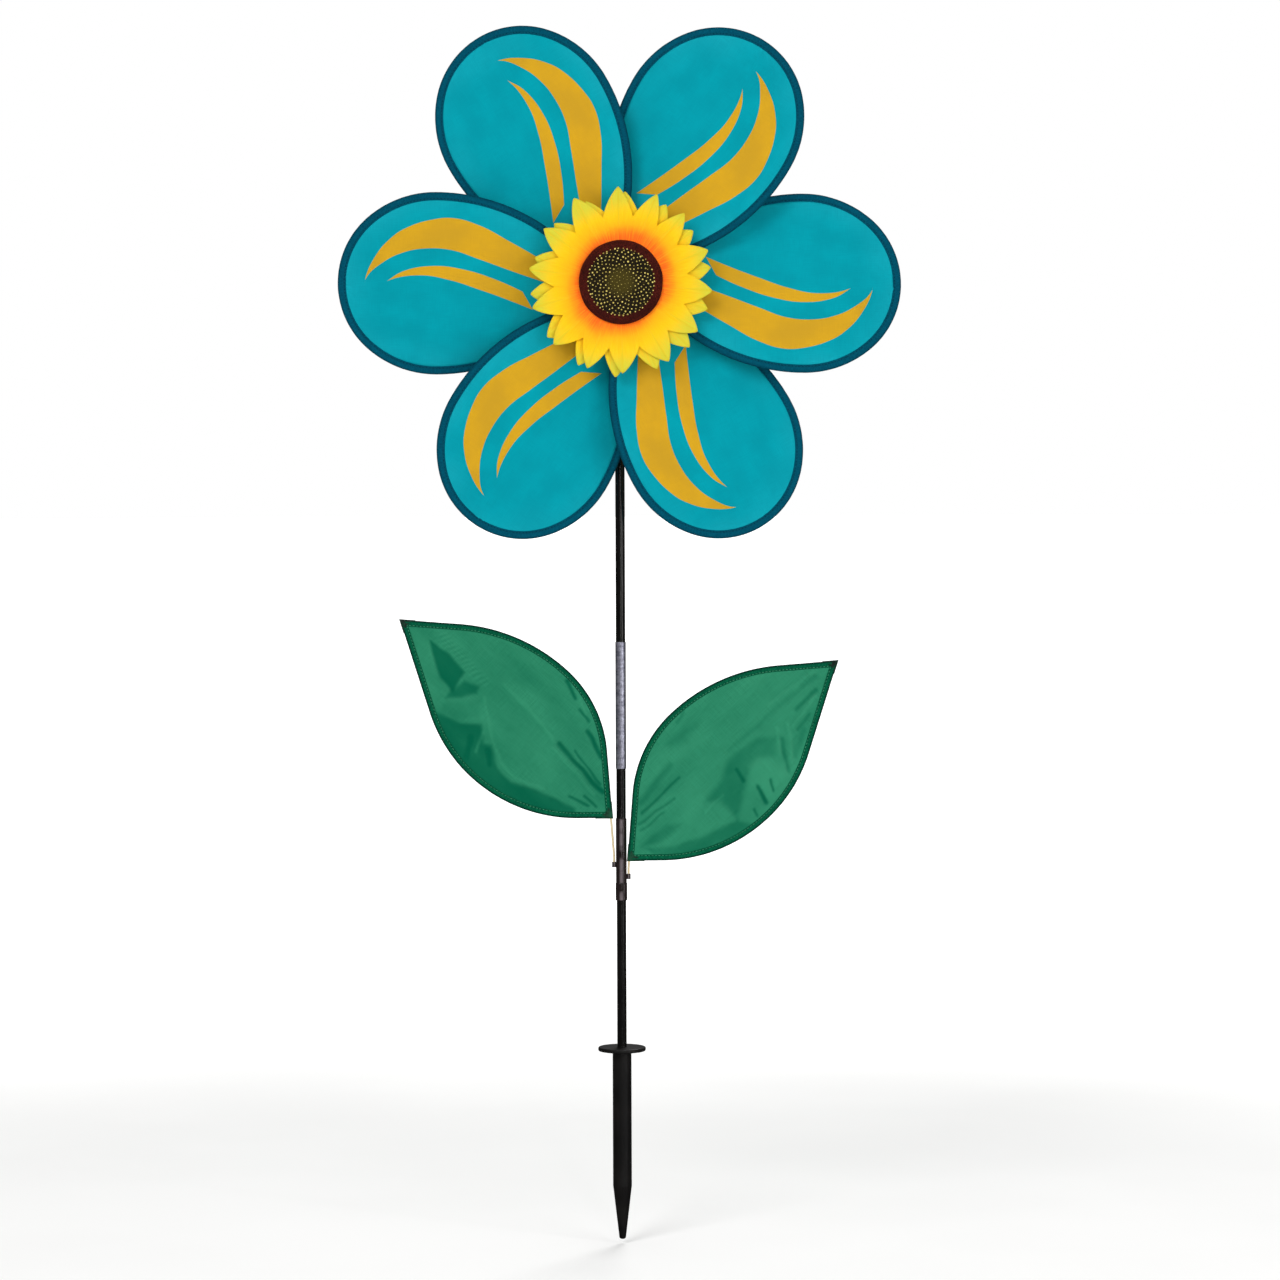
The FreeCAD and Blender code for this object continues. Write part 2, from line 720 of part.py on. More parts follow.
SIDES = {
    "right": {"turn": "0", "out": "", "collar": RIGHT_COLLAR, "stem": "right_stem"},
    "left": {"turn": "180", "out": "-", "collar": LEFT_COLLAR, "stem": "left_stem"},
}


def leaf_frame(side):
    """The frame of a leaf: its base lies past the bend and the free length of the stem."""
    stem, lean = side["stem"], "leaf_lean * 1deg"
    out = f"(stem_radius + stem_bend_radius * (1 - cos({lean})) + {stem} * sin({lean}))"
    up = (
        f"{side['collar']} + {SOCKET_FLOOR} + stem_straight"
        f" + stem_bend_radius * sin({lean}) + {stem} * cos({lean})"
    )
    turn = f"rotation(vector(0; 0; 1); {side['turn']})"
    tilt = "rotation(vector(0; 0; 1); leaf_angle)"
    return f"placement(vector({side['out']}{out}; 0; {up}); {turn} * {UPRIGHT} * {tilt})"


def leaf_foot(edge, along):
    """The point on an edge's straight base line at a distance along it from the base."""
    slope = edge["base"]
    return f"{along} * cos({slope} * 1deg)", f"{edge['way']}{along} * sin({slope} * 1deg)"


def leaf_end(edge, before):
    """The point on an edge's straight tip line at a distance before the tip."""
    slope = edge["tip"]
    across = f"leaf_length - {before} * cos({slope} * 1deg)"
    return across, f"{edge['way']}{before} * sin({slope} * 1deg)"


EDGES = {
    "Upper": {
        "way": "", "base": LEAF_UPPER_BASE, "tip": "leaf_upper_tip_angle",
        "rise": "leaf_upper_rise",
    },
    "Lower": {
        "way": "-", "base": "leaf_lower_base_angle", "tip": "leaf_lower_tip_angle",
        "rise": "leaf_lower_rise",
    },
}


def base_corner(inset):
    """Where the base lines of both edges meet when each is moved in by inset."""
    upper, lower = EDGES["Upper"]["base"], EDGES["Lower"]["base"]
    return meeting(inset, upper, lower)


def tip_corner(inset):
    """Where the tip lines of both edges meet when each is moved in by inset."""
    back, up = meeting(inset, EDGES["Upper"]["tip"], EDGES["Lower"]["tip"])
    return f"leaf_length - {back}", up


def meeting(inset, upper, lower):
    half_sum = f"sin(({upper} + {lower}) / 2 * 1deg)"
    turn = f"({upper} - {lower}) / 2 * 1deg"
    return f"({inset}) * cos({turn}) / {half_sum}", f"({inset}) * sin({turn}) / {half_sum}"


def leaf_edge(sketch, edge, inset, foot, end):
    """One edge of a leaf from foot to end: straight, two arcs that meet at its top, straight."""
    top = ("leaf_wide_at", f"{edge['way']}({edge['rise']} - ({inset}))")
    swelling(sketch, foot, f"{edge['way']}({edge['base']})", top)
    swelling(sketch, end, f"{edge['way']}(180 - {edge['tip']})", top)


def half_edges(body, name, edge, foot, end):
    """The two halves of an edge's line as spines, both starting at the edge's top."""
    top = ("leaf_wide_at", f"{edge['way']}{edge['rise']}")
    spines = []
    ends = (("Base", foot, edge["base"]), ("Tip", end, f"(180 - {edge['tip']})"))
    for half, corner, slope in ends:
        sketch = new_sketch(body, "XY_Plane", f"{name}{half}Line")
        swelling(sketch, corner, f"{edge['way']}{slope}", top)
        spines.append(sketch)
    return spines


def leaf_rods(doc, word, side):
    """The two bent rods in a leaf's edges.  The upper one runs on down into the collar."""
    for name, edge in EDGES.items():
        body = new_body(doc, f"{word}_leaf_{name.lower()}_rod", leaf_frame(side))
        section = new_sketch(body, "YZ_Plane", "RodSection", offset="leaf_wide_at")
        circle(section, "leaf_rod_diameter", x=f"{edge['way']}{edge['rise']}")
        foot = leaf_foot(edge, "lower_rod_start")
        if name == "Upper":
            foot = ("0", "0")
        spines = half_edges(body, "Edge", edge, foot, leaf_end(edge, "leaf_rod_end_gap"))
        for order, spine in enumerate(spines, start=1):
            sweep(body, section, spine, f"HalfRod{order}")
        if name == "Upper":
            leaf_stem(body, side)


def leaf_stem(body, side):
    """The rod's lower end: on from the leaf's base, round a slight bend and straight down."""
    slope, bend, free = LEAF_UPPER_BASE, "stem_bend_radius", side["stem"]
    upright = f"({slope} + leaf_lean)"
    chord = f"2 * {bend} * sin(leaf_lean / 2 * 1deg)"
    between = f"({slope} + leaf_lean / 2)"
    above = (f"-{free} * cos({slope} * 1deg)", f"-{free} * sin({slope} * 1deg)")
    below = (
        f"{above[0]} - {chord} * cos({between} * 1deg)",
        f"{above[1]} - {chord} * sin({between} * 1deg)",
    )
    foot = (
        f"{below[0]} - stem_straight * cos({upright} * 1deg)",
        f"{below[1]} - stem_straight * sin({upright} * 1deg)",
    )
    path = new_sketch(body, "XY_Plane", "StemLine")
    outline(path, [("0", "0"), (*above, bend), below, foot], closed=False)
    section = body.newObject("Sketcher::SketchObject", "StemSection")
    section.AttachmentSupport = [(path, "Edge1")]
    section.MapMode = "NormalToEdge"
    circle(section, "leaf_rod_diameter")
    sweep(body, section, path, "Stem")


def leaf_hem(doc, word, side):
    """The folded hem round the leaf, with a channel in each fold for its rod."""
    body = new_body(doc, f"{word}_leaf_hem", leaf_frame(side))
    tail = "(hem_width - hem_outer)"
    channels = []
    for name, edge in EDGES.items():
        middle = f"{edge['way']}{edge['rise']}"
        foot = leaf_foot(edge, "hem_start")
        spines = half_edges(body, name, edge, foot, leaf_end(edge, "hem_end_gap"))
        section = new_sketch(body, "YZ_Plane", f"{name}HemSection", offset="leaf_wide_at")
        fold_section(section, middle, edge["way"], "hem_outer", tail, "hem_flat")
        channel = new_sketch(body, "YZ_Plane", f"{name}ChannelSection", offset="leaf_wide_at")
        circle(channel, "leaf_rod_diameter + 2 * running_fit", x=middle)
        for order, spine in enumerate(spines, start=1):
            sweep(body, section, spine, f"{name}Hem{order}")
            channels.append((channel, spine, f"{name}Channel{order}"))
    for channel, spine, name in channels:
        sweep(body, channel, spine, name, cut=True)


def leaf_panel(doc, word, side):
    body = new_body(doc, f"{word}_leaf_panel", leaf_frame(side))
    cloth = new_sketch(body, "XY_Plane", "ClothOutline")
    inset = "hem_width - hem_outer + panel_gap"
    for edge in EDGES.values():
        leaf_edge(cloth, edge, inset, base_corner(inset), tip_corner(inset))
    extrude(body, cloth, "cloth_thickness / 2", "Cloth", other_way="cloth_thickness / 2")


def leaf_sleeve(doc, word, side, which):
    """A folded patch over the hem at the leaf's base or tip, hollow where the hem runs inside."""
    base = which == "base_patch"
    body = new_body(doc, f"{word}_leaf_{which}", leaf_frame(side))
    inner = "(hem_outer + running_fit)"
    outer = f"({inner} + patch_thickness)"
    for name, offset, mouth in (("Patch", outer, "0"), ("Hollow", inner, "patch_thickness")):
        if base:
            point, length, start, sign = base_corner(f"-{offset}"), "base_patch_length", "0", ""
        else:
            point, length, start = tip_corner(f"-{offset}"), "tip_patch_length", "leaf_length"
            sign = "-"
        across = f"{start} {sign or '+'} ({length} + {mouth})"
        key = "base" if base else "tip"
        heights = [
            f"{edge['way']}(({length} + {mouth}) * tan({edge[key]} * 1deg)"
            f" + {offset} / cos({edge[key]} * 1deg))"
            for edge in EDGES.values()
        ]
        sketch = new_sketch(body, "XY_Plane", f"{name}Outline")
        outline(sketch, [point, (across, heights[1]), (across, heights[0])])
        half = f"{offset}"
        extrude(body, sketch, half, name, other_way=half, cut=name == "Hollow")
    if base:
        edge = EDGES["Upper"]
        path = new_sketch(body, "XY_Plane", "StemLine")
        reach = "base_patch_length"
        near, far = leaf_foot(edge, f"(-{reach})"), leaf_foot(edge, reach)
        outline(path, [near, far], closed=False)
        section = body.newObject("Sketcher::SketchObject", "StemHoleSection")
        section.AttachmentSupport = [(path, "Edge1")]
        section.MapMode = "NormalToEdge"
        circle(section, "leaf_rod_diameter + 2 * running_fit")
        sweep(body, section, path, "StemHole", cut=True)


def leaf_collar(doc, word, side):
    """A ring that turns on the pole, with an ear at its side that holds the foot of the leaf's stem."""
    turn = f"rotation(vector(0; 0; 1); {side['turn']})"
    body = new_body(doc, f"{word}_leaf_collar", f"placement(vector(0; 0; {side['collar']}); {turn})")
    solids = (
        ("Ring", "collar_diameter", "0", "0", "collar_height"),
        ("Ear", "ear_diameter", "stem_radius", "ear_base", "ear_height"),
    )
    for name, diameter, x, base, height in solids:
        sketch = new_sketch(body, "XY_Plane", f"{name}Outline", offset=base)
        circle(sketch, diameter, x=x)
        extrude(body, sketch, height, name)

    bore = new_sketch(body, "XY_Plane", "PoleHoleOutline")
    circle(bore, "pole_diameter + 2 * running_fit")
    extrude(body, bore, "collar_height", "PoleHole", cut=True)

    socket = new_sketch(body, "XY_Plane", "StemHoleOutline", offset=SOCKET_FLOOR)
    circle(socket, "leaf_rod_diameter + 2 * running_fit", x="stem_radius")
    extrude(body, socket, "stem_socket_depth", "StemHole", cut=True)


def leaf(doc, word, side):
    leaf_collar(doc, word, side)
    leaf_rods(doc, word, side)
    leaf_hem(doc, word, side)
    leaf_panel(doc, word, side)
    leaf_sleeve(doc, word, side, "base_patch")
    leaf_sleeve(doc, word, side, "tip_patch")


# ---------------------------------------------------------------- the whole assembly

def build():
    doc = FreeCAD.newDocument("WindSpinner")
    make_sheet(doc)
    ground_stake(doc)
    pole_parts(doc)
    for word, side in SIDES.items():
        leaf(doc, word, side)
    pole_top_fitting(doc)
    axle_parts(doc)
    hub(doc)
    hub_bushes(doc)
    sunflower(doc)
    for number in range(1, SIZES["petal_count"] + 1):
        petal(doc, number)
    doc.recompute()
    return doc


def check(doc):
    """Stops if any object failed or any sub-part is not one valid solid."""
    for item in doc.Objects:
        if {"Invalid", "Error"} & set(item.State):
            raise RuntimeError(f"{item.Label} failed: {item.State}")
    bodies = [item for item in doc.Objects if item.TypeId == "PartDesign::Body"]
    for body in bodies:
        shape = body.Shape
        if shape.isNull() or not shape.isValid() or len(shape.Solids) != 1:
            raise RuntimeError(f"{body.Label} is not one valid solid")
    return bodies


def main():
    doc = build()
    bodies = check(doc)
    os.makedirs("parts", exist_ok=True)
    for body in bodies:
        body.Shape.exportStep(f"parts/{body.Label}.step")
    print(f"{len(bodies)} sub-parts written")


main()
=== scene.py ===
import json
import math

import bmesh
import bpy
from mathutils import Matrix, Vector, noise


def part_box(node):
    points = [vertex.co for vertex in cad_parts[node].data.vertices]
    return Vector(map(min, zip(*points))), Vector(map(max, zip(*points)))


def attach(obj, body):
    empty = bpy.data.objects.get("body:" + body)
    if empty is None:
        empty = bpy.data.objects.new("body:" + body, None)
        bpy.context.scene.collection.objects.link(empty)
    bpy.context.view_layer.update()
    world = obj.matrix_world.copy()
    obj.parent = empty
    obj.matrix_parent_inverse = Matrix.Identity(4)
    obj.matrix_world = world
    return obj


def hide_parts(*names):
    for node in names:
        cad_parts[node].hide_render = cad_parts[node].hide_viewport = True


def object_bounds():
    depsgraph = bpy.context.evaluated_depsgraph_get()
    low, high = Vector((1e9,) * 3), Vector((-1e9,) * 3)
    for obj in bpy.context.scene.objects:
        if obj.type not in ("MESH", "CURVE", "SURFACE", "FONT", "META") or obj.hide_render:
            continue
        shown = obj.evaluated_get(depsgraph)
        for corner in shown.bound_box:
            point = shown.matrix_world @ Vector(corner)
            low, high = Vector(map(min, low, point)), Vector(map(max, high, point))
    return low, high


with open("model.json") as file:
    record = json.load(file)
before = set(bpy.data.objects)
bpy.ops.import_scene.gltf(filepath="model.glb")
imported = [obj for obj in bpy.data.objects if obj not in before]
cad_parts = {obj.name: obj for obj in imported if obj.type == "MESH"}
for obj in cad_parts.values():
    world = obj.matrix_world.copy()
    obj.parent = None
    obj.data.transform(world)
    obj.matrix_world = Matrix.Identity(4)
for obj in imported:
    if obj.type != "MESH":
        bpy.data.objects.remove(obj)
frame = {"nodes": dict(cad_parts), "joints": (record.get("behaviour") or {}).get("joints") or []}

CAD_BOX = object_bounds()

# A piece's lengths are millimetres in its own frame and become metres in build_mesh. The floor,
# lights and camera are in metres.
MM = 0.001

# ---------------- frames of the moving pieces

HUB = Vector(next(j for j in frame["joints"] if j["name"] == "rotor_spin")["pos_m"]) / MM
PETALS = 6
PETAL_PITCH = 9.0
# Stands a frame up, so that its XY plane faces the viewer.
UPRIGHT = Matrix.Rotation(math.radians(90), 4, "X")
HEAD = Matrix.Translation(HUB) @ UPRIGHT


def turned(degrees, axis="Z"):
    return Matrix.Rotation(math.radians(degrees), 4, axis)


def petal_frame(number):
    """A petal's own frame: +X out along its middle line, +Z towards the viewer."""
    return HEAD @ turned((number - 1) * 360 / PETALS) @ turned(-PETAL_PITCH, "X")


# A leaf's middle line rises by LEAF_ANGLE from level. Its stem stands in the collar's ear, bends
# out to LEAF_LEAN degrees and runs on straight by STEMS to the leaf's base.
LEAF_ANGLE = 43.4
LEAF_LEAN = 4.5
STEM_RADIUS = 6.3
STEM_BEND = 60.0
STEM_STRAIGHT = 6.9
SOCKET_FLOOR = 3.8
STEMS = {"right": 4.8, "left": 31.8}
# Which way each leaf points from the pole, in degrees.
SIDES = {"right": 0.0, "left": 180.0}


def leaf_frame(side):
    """A leaf's own frame: +X from its base to its tip, +Y up its upper side."""
    lean = math.radians(LEAF_LEAN)
    out = STEM_RADIUS + STEM_BEND * (1 - math.cos(lean)) + STEMS[side] * math.sin(lean)
    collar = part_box(f"{side}_leaf_collar")[0].z / MM
    up = collar + SOCKET_FLOOR + STEM_STRAIGHT
    up += STEM_BEND * math.sin(lean) + STEMS[side] * math.cos(lean)
    base = Matrix.Translation(Vector((out, 0, up)))
    return turned(SIDES[side]) @ base @ UPRIGHT @ turned(LEAF_ANGLE)


# ---------------- lines of the bent rods

def arc_points(centre, radius, start, end, step):
    """Points on an arc from start to end degrees, and the outward direction at each."""
    count = max(2, int(abs(math.radians(end - start)) * abs(radius) / step))
    rows = []
    for index in range(count + 1):
        angle = math.radians(start + (end - start) * index / count)
        out = Vector((math.cos(angle), math.sin(angle)))
        rows.append((Vector(centre) + out * radius, out))
    return rows


def line_points(first, second, out, step):
    count = max(1, int((second - first).length / step))
    return [(first.lerp(second, index / count), out) for index in range(count + 1)]


def mirrored(rows):
    """The same points and directions on the other side of the X axis."""
    return [(Vector((point.x, -point.y)), Vector((out.x, -out.y))) for point, out in rows]


def joined(*runs):
    """Runs of (point, outward) end to end, with repeated points left out."""
    rows = []
    for run in runs:
        for point, out in run:
            if not rows or (point - rows[-1][0]).length > 0.01:
                rows.append((point, out))
    return rows


def swelling(slope, top_x, top_y, foot, step):
    """A straight line at slope degrees through the origin, from foot along it, and its tangent arc."""
    turn = math.radians(slope)
    radius = (top_x * math.sin(turn) - top_y * math.cos(turn)) / (1 - math.cos(turn))
    centre = Vector((top_x, top_y - radius))
    out = Vector((-math.sin(turn), math.cos(turn)))
    touch = centre + out * radius
    start = Vector((math.cos(turn), math.sin(turn))) * foot
    straight = line_points(start, touch, out, step)
    return straight, arc_points(centre, radius, slope + 90, 90, step)


# A petal's rod: straight from its root at PETAL_SLOPE, swelling to its widest, then a round tip.
PETAL_REACH = 240.4
PETAL_TIP_RADIUS = 73.4
PETAL_WIDE_AT = 158.0
PETAL_HALF_WIDTH = 76.8
PETAL_SLOPE = 36.5
PETAL_ROOT = 29.0


def petal_line(step=2.0):
    """The rod's line round a whole petal, from its -Y root to its +Y root."""
    straight, rise = swelling(PETAL_SLOPE, PETAL_WIDE_AT, PETAL_HALF_WIDTH, PETAL_ROOT, step)
    middle = Vector((PETAL_REACH - PETAL_TIP_RADIUS, 0))
    across = PETAL_WIDE_AT - middle.x
    drop = PETAL_HALF_WIDTH - PETAL_TIP_RADIUS
    radius = (across ** 2 + PETAL_HALF_WIDTH ** 2 - PETAL_TIP_RADIUS ** 2) / (2 * drop)
    centre = Vector((PETAL_WIDE_AT, PETAL_HALF_WIDTH - radius))
    meet = math.degrees(math.atan2(middle.y - centre.y, middle.x - centre.x))
    shoulder = arc_points(centre, radius, 90, meet, step)
    crown = arc_points(middle, PETAL_TIP_RADIUS, meet, 0, step)
    half = joined(straight, rise, shoulder, crown)
    return mirrored(half[:-1]) + half[::-1]


LEAF_LENGTH = 248.0
LEAF_WIDE_AT = 113.0
# How far each edge rises, and the angles of its straight ends at the base and the tip.
LEAF_EDGES = {
    "upper": (65.5, 90 - LEAF_ANGLE - LEAF_LEAN, 39.0),
    "lower": (56.5, 43.3, 29.1),
}


def leaf_line(edge, start, end, step=2.0):
    """The rod's line along one leaf edge, from start after the base to end before the tip."""
    rise, base, tip = LEAF_EDGES[edge]
    straight, swell = swelling(base, LEAF_WIDE_AT, rise, start, step)
    back, fall = swelling(tip, LEAF_LENGTH - LEAF_WIDE_AT, rise, end, step)
    from_tip = [
        (Vector((LEAF_LENGTH - p.x, p.y)), Vector((-o.x, o.y))) for p, o in joined(back, fall)
    ]
    rows = joined(straight, swell, from_tip[::-1])
    return mirrored(rows) if edge == "lower" else rows


def uneven(x, y, z):
    """A number from -1 to 1 that wanders smoothly from place to place."""
    return noise.noise(Vector((x, y, z)))


def polar(radius, turn):
    return radius * math.cos(turn), radius * math.sin(turn)


def circle(count):
    """Angles spaced evenly round a circle."""
    return [2 * math.pi * step / count for step in range(count)]


def clamped(value):
    return min(1.0, max(0.0, value))


def moved_in(rows, inset):
    return [point - out * inset for point, out in rows]


def height_at(points, x):
    """The y of a polyline that runs in +x, at x."""
    for first, second in zip(points, points[1:]):
        if first.x <= x <= second.x:
            share = (x - first.x) / max(second.x - first.x, 1e-9)
            return first.y + (second.y - first.y) * share
    return points[0].y if x < points[0].x else points[-1].y


# ---------------- meshes

def add_object(name, data):
    made = bpy.data.objects.new(name, data)
    bpy.context.scene.collection.objects.link(made)
    return made


def build_mesh(name, verts, faces, matrix, values=None):
    """An object from verts in millimetres in the frame matrix, with named per-vertex vectors."""
    mesh = bpy.data.meshes.new(name)
    mesh.from_pydata([(matrix @ Vector(v)) * MM for v in verts], [], faces)
    for key, rows in (values or {}).items():
        attribute = mesh.attributes.new(key, "FLOAT_VECTOR", "POINT")
        attribute.data.foreach_set("vector", [part for row in rows for part in row])
    mesh.validate()
    mesh.update()
    mesh.shade_smooth()
    return add_object(name, mesh)


def tidy_mesh(piece, distance=0.02):
    """Merges doubled vertices and turns every face outwards."""
    edit = bmesh.new()
    edit.from_mesh(piece.data)
    bmesh.ops.remove_doubles(edit, verts=edit.verts, dist=distance * MM)
    bmesh.ops.recalc_face_normals(edit, faces=edit.faces)
    edit.to_mesh(piece.data)
    edit.free()
    piece.data.update()
    return piece


def grid_faces(rows, columns, closed=False):
    """Quads of a grid whose vertices run row by row; closed joins the last column to the first."""
    faces = []
    wide = columns if closed else columns - 1
    for row in range(rows - 1):
        for column in range(wide):
            after = (column + 1) % columns
            first, second = row * columns, (row + 1) * columns
            faces.append((first + column, first + after, second + after, second + column))
    return faces


def tube_faces(rings, around, first=0):
    """A closed tube of quads with its two ends capped, from the vertex numbered first."""
    faces = grid_faces(rings, around, closed=True)
    faces.append(tuple(reversed(range(around))))
    faces.append(tuple(range((rings - 1) * around, rings * around)))
    return [tuple(first + corner for corner in face) for face in faces]


def use(piece, body, slot, material, *nodes):
    """Gives a finished piece its material and its CAD body, and hides the nodes it stands for. The
    slot argument is not used.
    """
    piece.data.materials.clear()
    piece.data.materials.append(material)
    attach(piece, body)
    if nodes:
        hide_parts(*nodes)


# ---------------- material tools

def rgb(red, green, blue):
    """A screen colour, 0 to 255, as the linear colour that shaders use."""
    def linear(part):
        part /= 255
        return part / 12.92 if part <= 0.04045 else ((part + 0.055) / 1.055) ** 2.4
    return (linear(red), linear(green), linear(blue), 1.0)


class Look:
    """A material's or the world's nodes, with short names for the nodes that these looks use."""

    def __init__(self, name, kind=bpy.data.materials, shader="Principled BSDF"):
        self.owner = kind.new(name)
        self.owner.use_nodes = True
        self.tree = self.owner.node_tree
        self.shader = self.tree.nodes[shader]

    def add(self, kind, inputs=None, **settings):
        node = self.tree.nodes.new(kind)
        for key, setting in settings.items():
            setattr(node, key, setting)
        for key, fed in (inputs or {}).items():
            self.feed(node.inputs[key], fed)
        return node

    def feed(self, socket, fed):
        if fed is None:
            return
        if isinstance(fed, bpy.types.NodeSocket):
            self.tree.links.new(fed, socket)
        else:
            socket.default_value = fed

    def finish(self, **inputs):
        """Sets the shader's inputs; an underscore in a name stands for a space."""
        for key, fed in inputs.items():
            self.feed(self.shader.inputs[key.replace("_", " ")], fed)
        return self.owner

    def math(self, operation, first, second=None):
        return self.add("ShaderNodeMath", {0: first, 1: second}, operation=operation).outputs[0]

    def plus(self, first, second):
        return self.math("ADD", first, second)

    def minus(self, first, second):
        return self.math("SUBTRACT", first, second)

    def times(self, first, second):
        return self.math("MULTIPLY", first, second)

    def vector_math(self, operation, first, second=None):
        node = self.add("ShaderNodeVectorMath", {0: first, 1: second}, operation=operation)
        return node.outputs["Value" if operation == "LENGTH" else "Vector"]

    def scaled(self, vector, factors):
        """A vector's three parts times three factors, or all times one."""
        if isinstance(factors, float):
            factors = (factors, factors, factors)
        return self.vector_math("MULTIPLY", vector, factors)

    def place(self):
        """Position in the row frame, in millimetres."""
        return self.scaled(self.add("ShaderNodeTexCoord").outputs["Object"], 1 / MM)

    def from_axle(self, place):
        """The way to a place from the flower's middle, seen from the front."""
        return self.scaled(self.vector_math("SUBTRACT", place, HUB), (1.0, 0.0, 1.0))

    def value(self, name):
        """A mesh's own per-vertex vector."""
        return self.add("ShaderNodeAttribute", attribute_name=name).outputs["Vector"]

    def parts(self, vector):
        node = self.add("ShaderNodeSeparateXYZ", {0: vector})
        return node.outputs[0], node.outputs[1], node.outputs[2]

    def noise(self, vector, rates, detail=2.0, roughness=0.5):
        """Soft noise; rates are its changes per millimetre along each axis, or one for all."""
        inputs = {"Scale": 1.0, "Detail": detail, "Roughness": roughness}
        inputs["Vector"] = self.scaled(vector, rates)
        return self.add("ShaderNodeTexNoise", inputs).outputs["Fac"]

    def threads(self, cloth, fine, long):
        """Uneven warp and weft threads: noise drawn out along the cloth's two ways."""
        warp = self.noise(cloth, (fine, long, 0.0))
        return self.plus(warp, self.noise(cloth, (long, fine, 0.0)))

    def facing(self):
        """0 where a surface faces the viewer, 1 where it is seen edge on."""
        return self.add("ShaderNodeLayerWeight", {"Blend": 0.5}).outputs["Facing"]

    def between(self, value, low, high, first=0.0, last=1.0, smooth=True):
        """value's place between low and high, eased, as a number from first to last."""
        inputs = {"Value": value, "From Min": low, "From Max": high, "To Min": first, "To Max": last}
        kind = "SMOOTHSTEP" if smooth else "LINEAR"
        return self.add("ShaderNodeMapRange", inputs, interpolation_type=kind).outputs[0]

    def mix(self, share, first, second):
        node = self.add("ShaderNodeMix", data_type="RGBA")
        self.feed(node.inputs[0], share)
        self.feed(node.inputs[6], first)
        self.feed(node.inputs[7], second)
        return node.outputs[2]

    def blend(self, value, low, high, first, second):
        """From the first colour to the second as value goes from low to high."""
        return self.mix(self.between(value, low, high), first, second)

    def tint(self, colour, value, low, high, towards, most=1.0):
        """colour, turned towards another as value goes from low to high."""
        return self.mix(self.between(value, low, high, 0.0, most), colour, towards)

    def weave(self, x, y, pitch):
        """A plain weave's height: threads of one pitch passing over and under each other."""
        rate = 2 * math.pi / pitch
        across = self.math("SINE", self.times(x, rate))
        along = self.math("SINE", self.times(y, rate))
        return self.times(across, along)

    def streaks(self, way, radius, fineness):
        """A place that changes fast round a circle and slowly out from its middle."""
        out = self.add("ShaderNodeCombineXYZ", {1: self.times(radius, 0.04)}).outputs[0]
        return self.vector_math("ADD", self.scaled(way, fineness), out)

    def curve(self, value, points):
        """A smooth curve through points, all of them from 0 to 1."""
        node = self.add("ShaderNodeFloatCurve", {"Value": value})
        line = node.mapping.curves[0]
        line.points[0].location = points[0]
        line.points[1].location = points[-1]
        for point in points[1:-1]:
            line.points.new(*point)
        node.mapping.update()
        return node.outputs[0]

    def bump(self, height, strength, distance, below=None):
        inputs = {"Strength": strength, "Distance": distance * MM, "Height": height, "Normal": below}
        return self.add("ShaderNodeBump", inputs).outputs[0]


# ---------------- cloth materials

# The gold print on a petal, in millimetres out along the petal and clockwise from its middle line.
PRINT_FROM, PRINT_TO = 50.0, 220.0
PRINT_LOW, PRINT_HIGH = -40.0, 60.0
LARGE_OUTER = [(50, 9), (97, 36), (122, 49), (144, 55), (160, 54), (185, 46), (198, 37),
               (210, 23), (219.5, 1.5)]
LARGE_INNER = [(50, -5), (97, 11), (122, 20), (147, 28), (168, 29), (185, 26), (204, 17),
               (219.5, 1.5)]
SMALL_OUTER = [(50, -25), (84, -8), (109, 3), (135, 11), (160, 14), (185, 10), (200.5, 1)]
SMALL_INNER = [(50, -34), (97, -15), (122, -6), (147, 2), (173, 6), (200.5, 1)]
# The large stroke starts square, under the sunflower, and the small one along a slanting line.
LARGE_ROOT = 52.0
SMALL_ROOT, SMALL_SLANT = 89.0, 0.571
LARGE_TIP, SMALL_TIP = 219.4, 200.5
# Half the width of the print's soft edge, at its sides and roots and at its tips.
PRINT_EDGE, TIP_EDGE = 0.25, 0.2
# How far an edge's curve drops past its stroke's tip, as a share of the drawing's height.
PRINT_DROP = 0.15


def print_mask(look, x, y):
    """1 inside the two gold strokes and 0 outside them."""
    clockwise = look.times(y, -1.0)
    along = look.between(x, PRINT_FROM, PRINT_TO, smooth=False)

    def edge(points):
        wide, tall = PRINT_TO - PRINT_FROM, PRINT_HIGH - PRINT_LOW
        fitted = [((px - PRINT_FROM) / wide, (py - PRINT_LOW) / tall) for px, py in points]
        fitted.append((1.0, fitted[-1][1] - PRINT_DROP))
        return look.between(look.curve(along, fitted), 0.0, 1.0, PRINT_LOW, PRINT_HIGH, False)

    def stroke(outer, inner, start, root, tip):
        under = look.minus(edge(outer), clockwise)
        over = look.minus(clockwise, edge(inner))
        inside = look.between(look.math("MINIMUM", under, over), -PRINT_EDGE, PRINT_EDGE)
        begun = look.between(start, root - PRINT_EDGE, root + PRINT_EDGE)
        going = look.between(x, tip + TIP_EDGE, tip - TIP_EDGE)
        return look.times(inside, look.times(begun, going))

    slant = look.minus(x, look.times(clockwise, SMALL_SLANT))
    large = stroke(LARGE_OUTER, LARGE_INNER, x, LARGE_ROOT, LARGE_TIP)
    small = stroke(SMALL_OUTER, SMALL_INNER, slant, SMALL_ROOT, SMALL_TIP)
    return look.math("MAXIMUM", large, small)


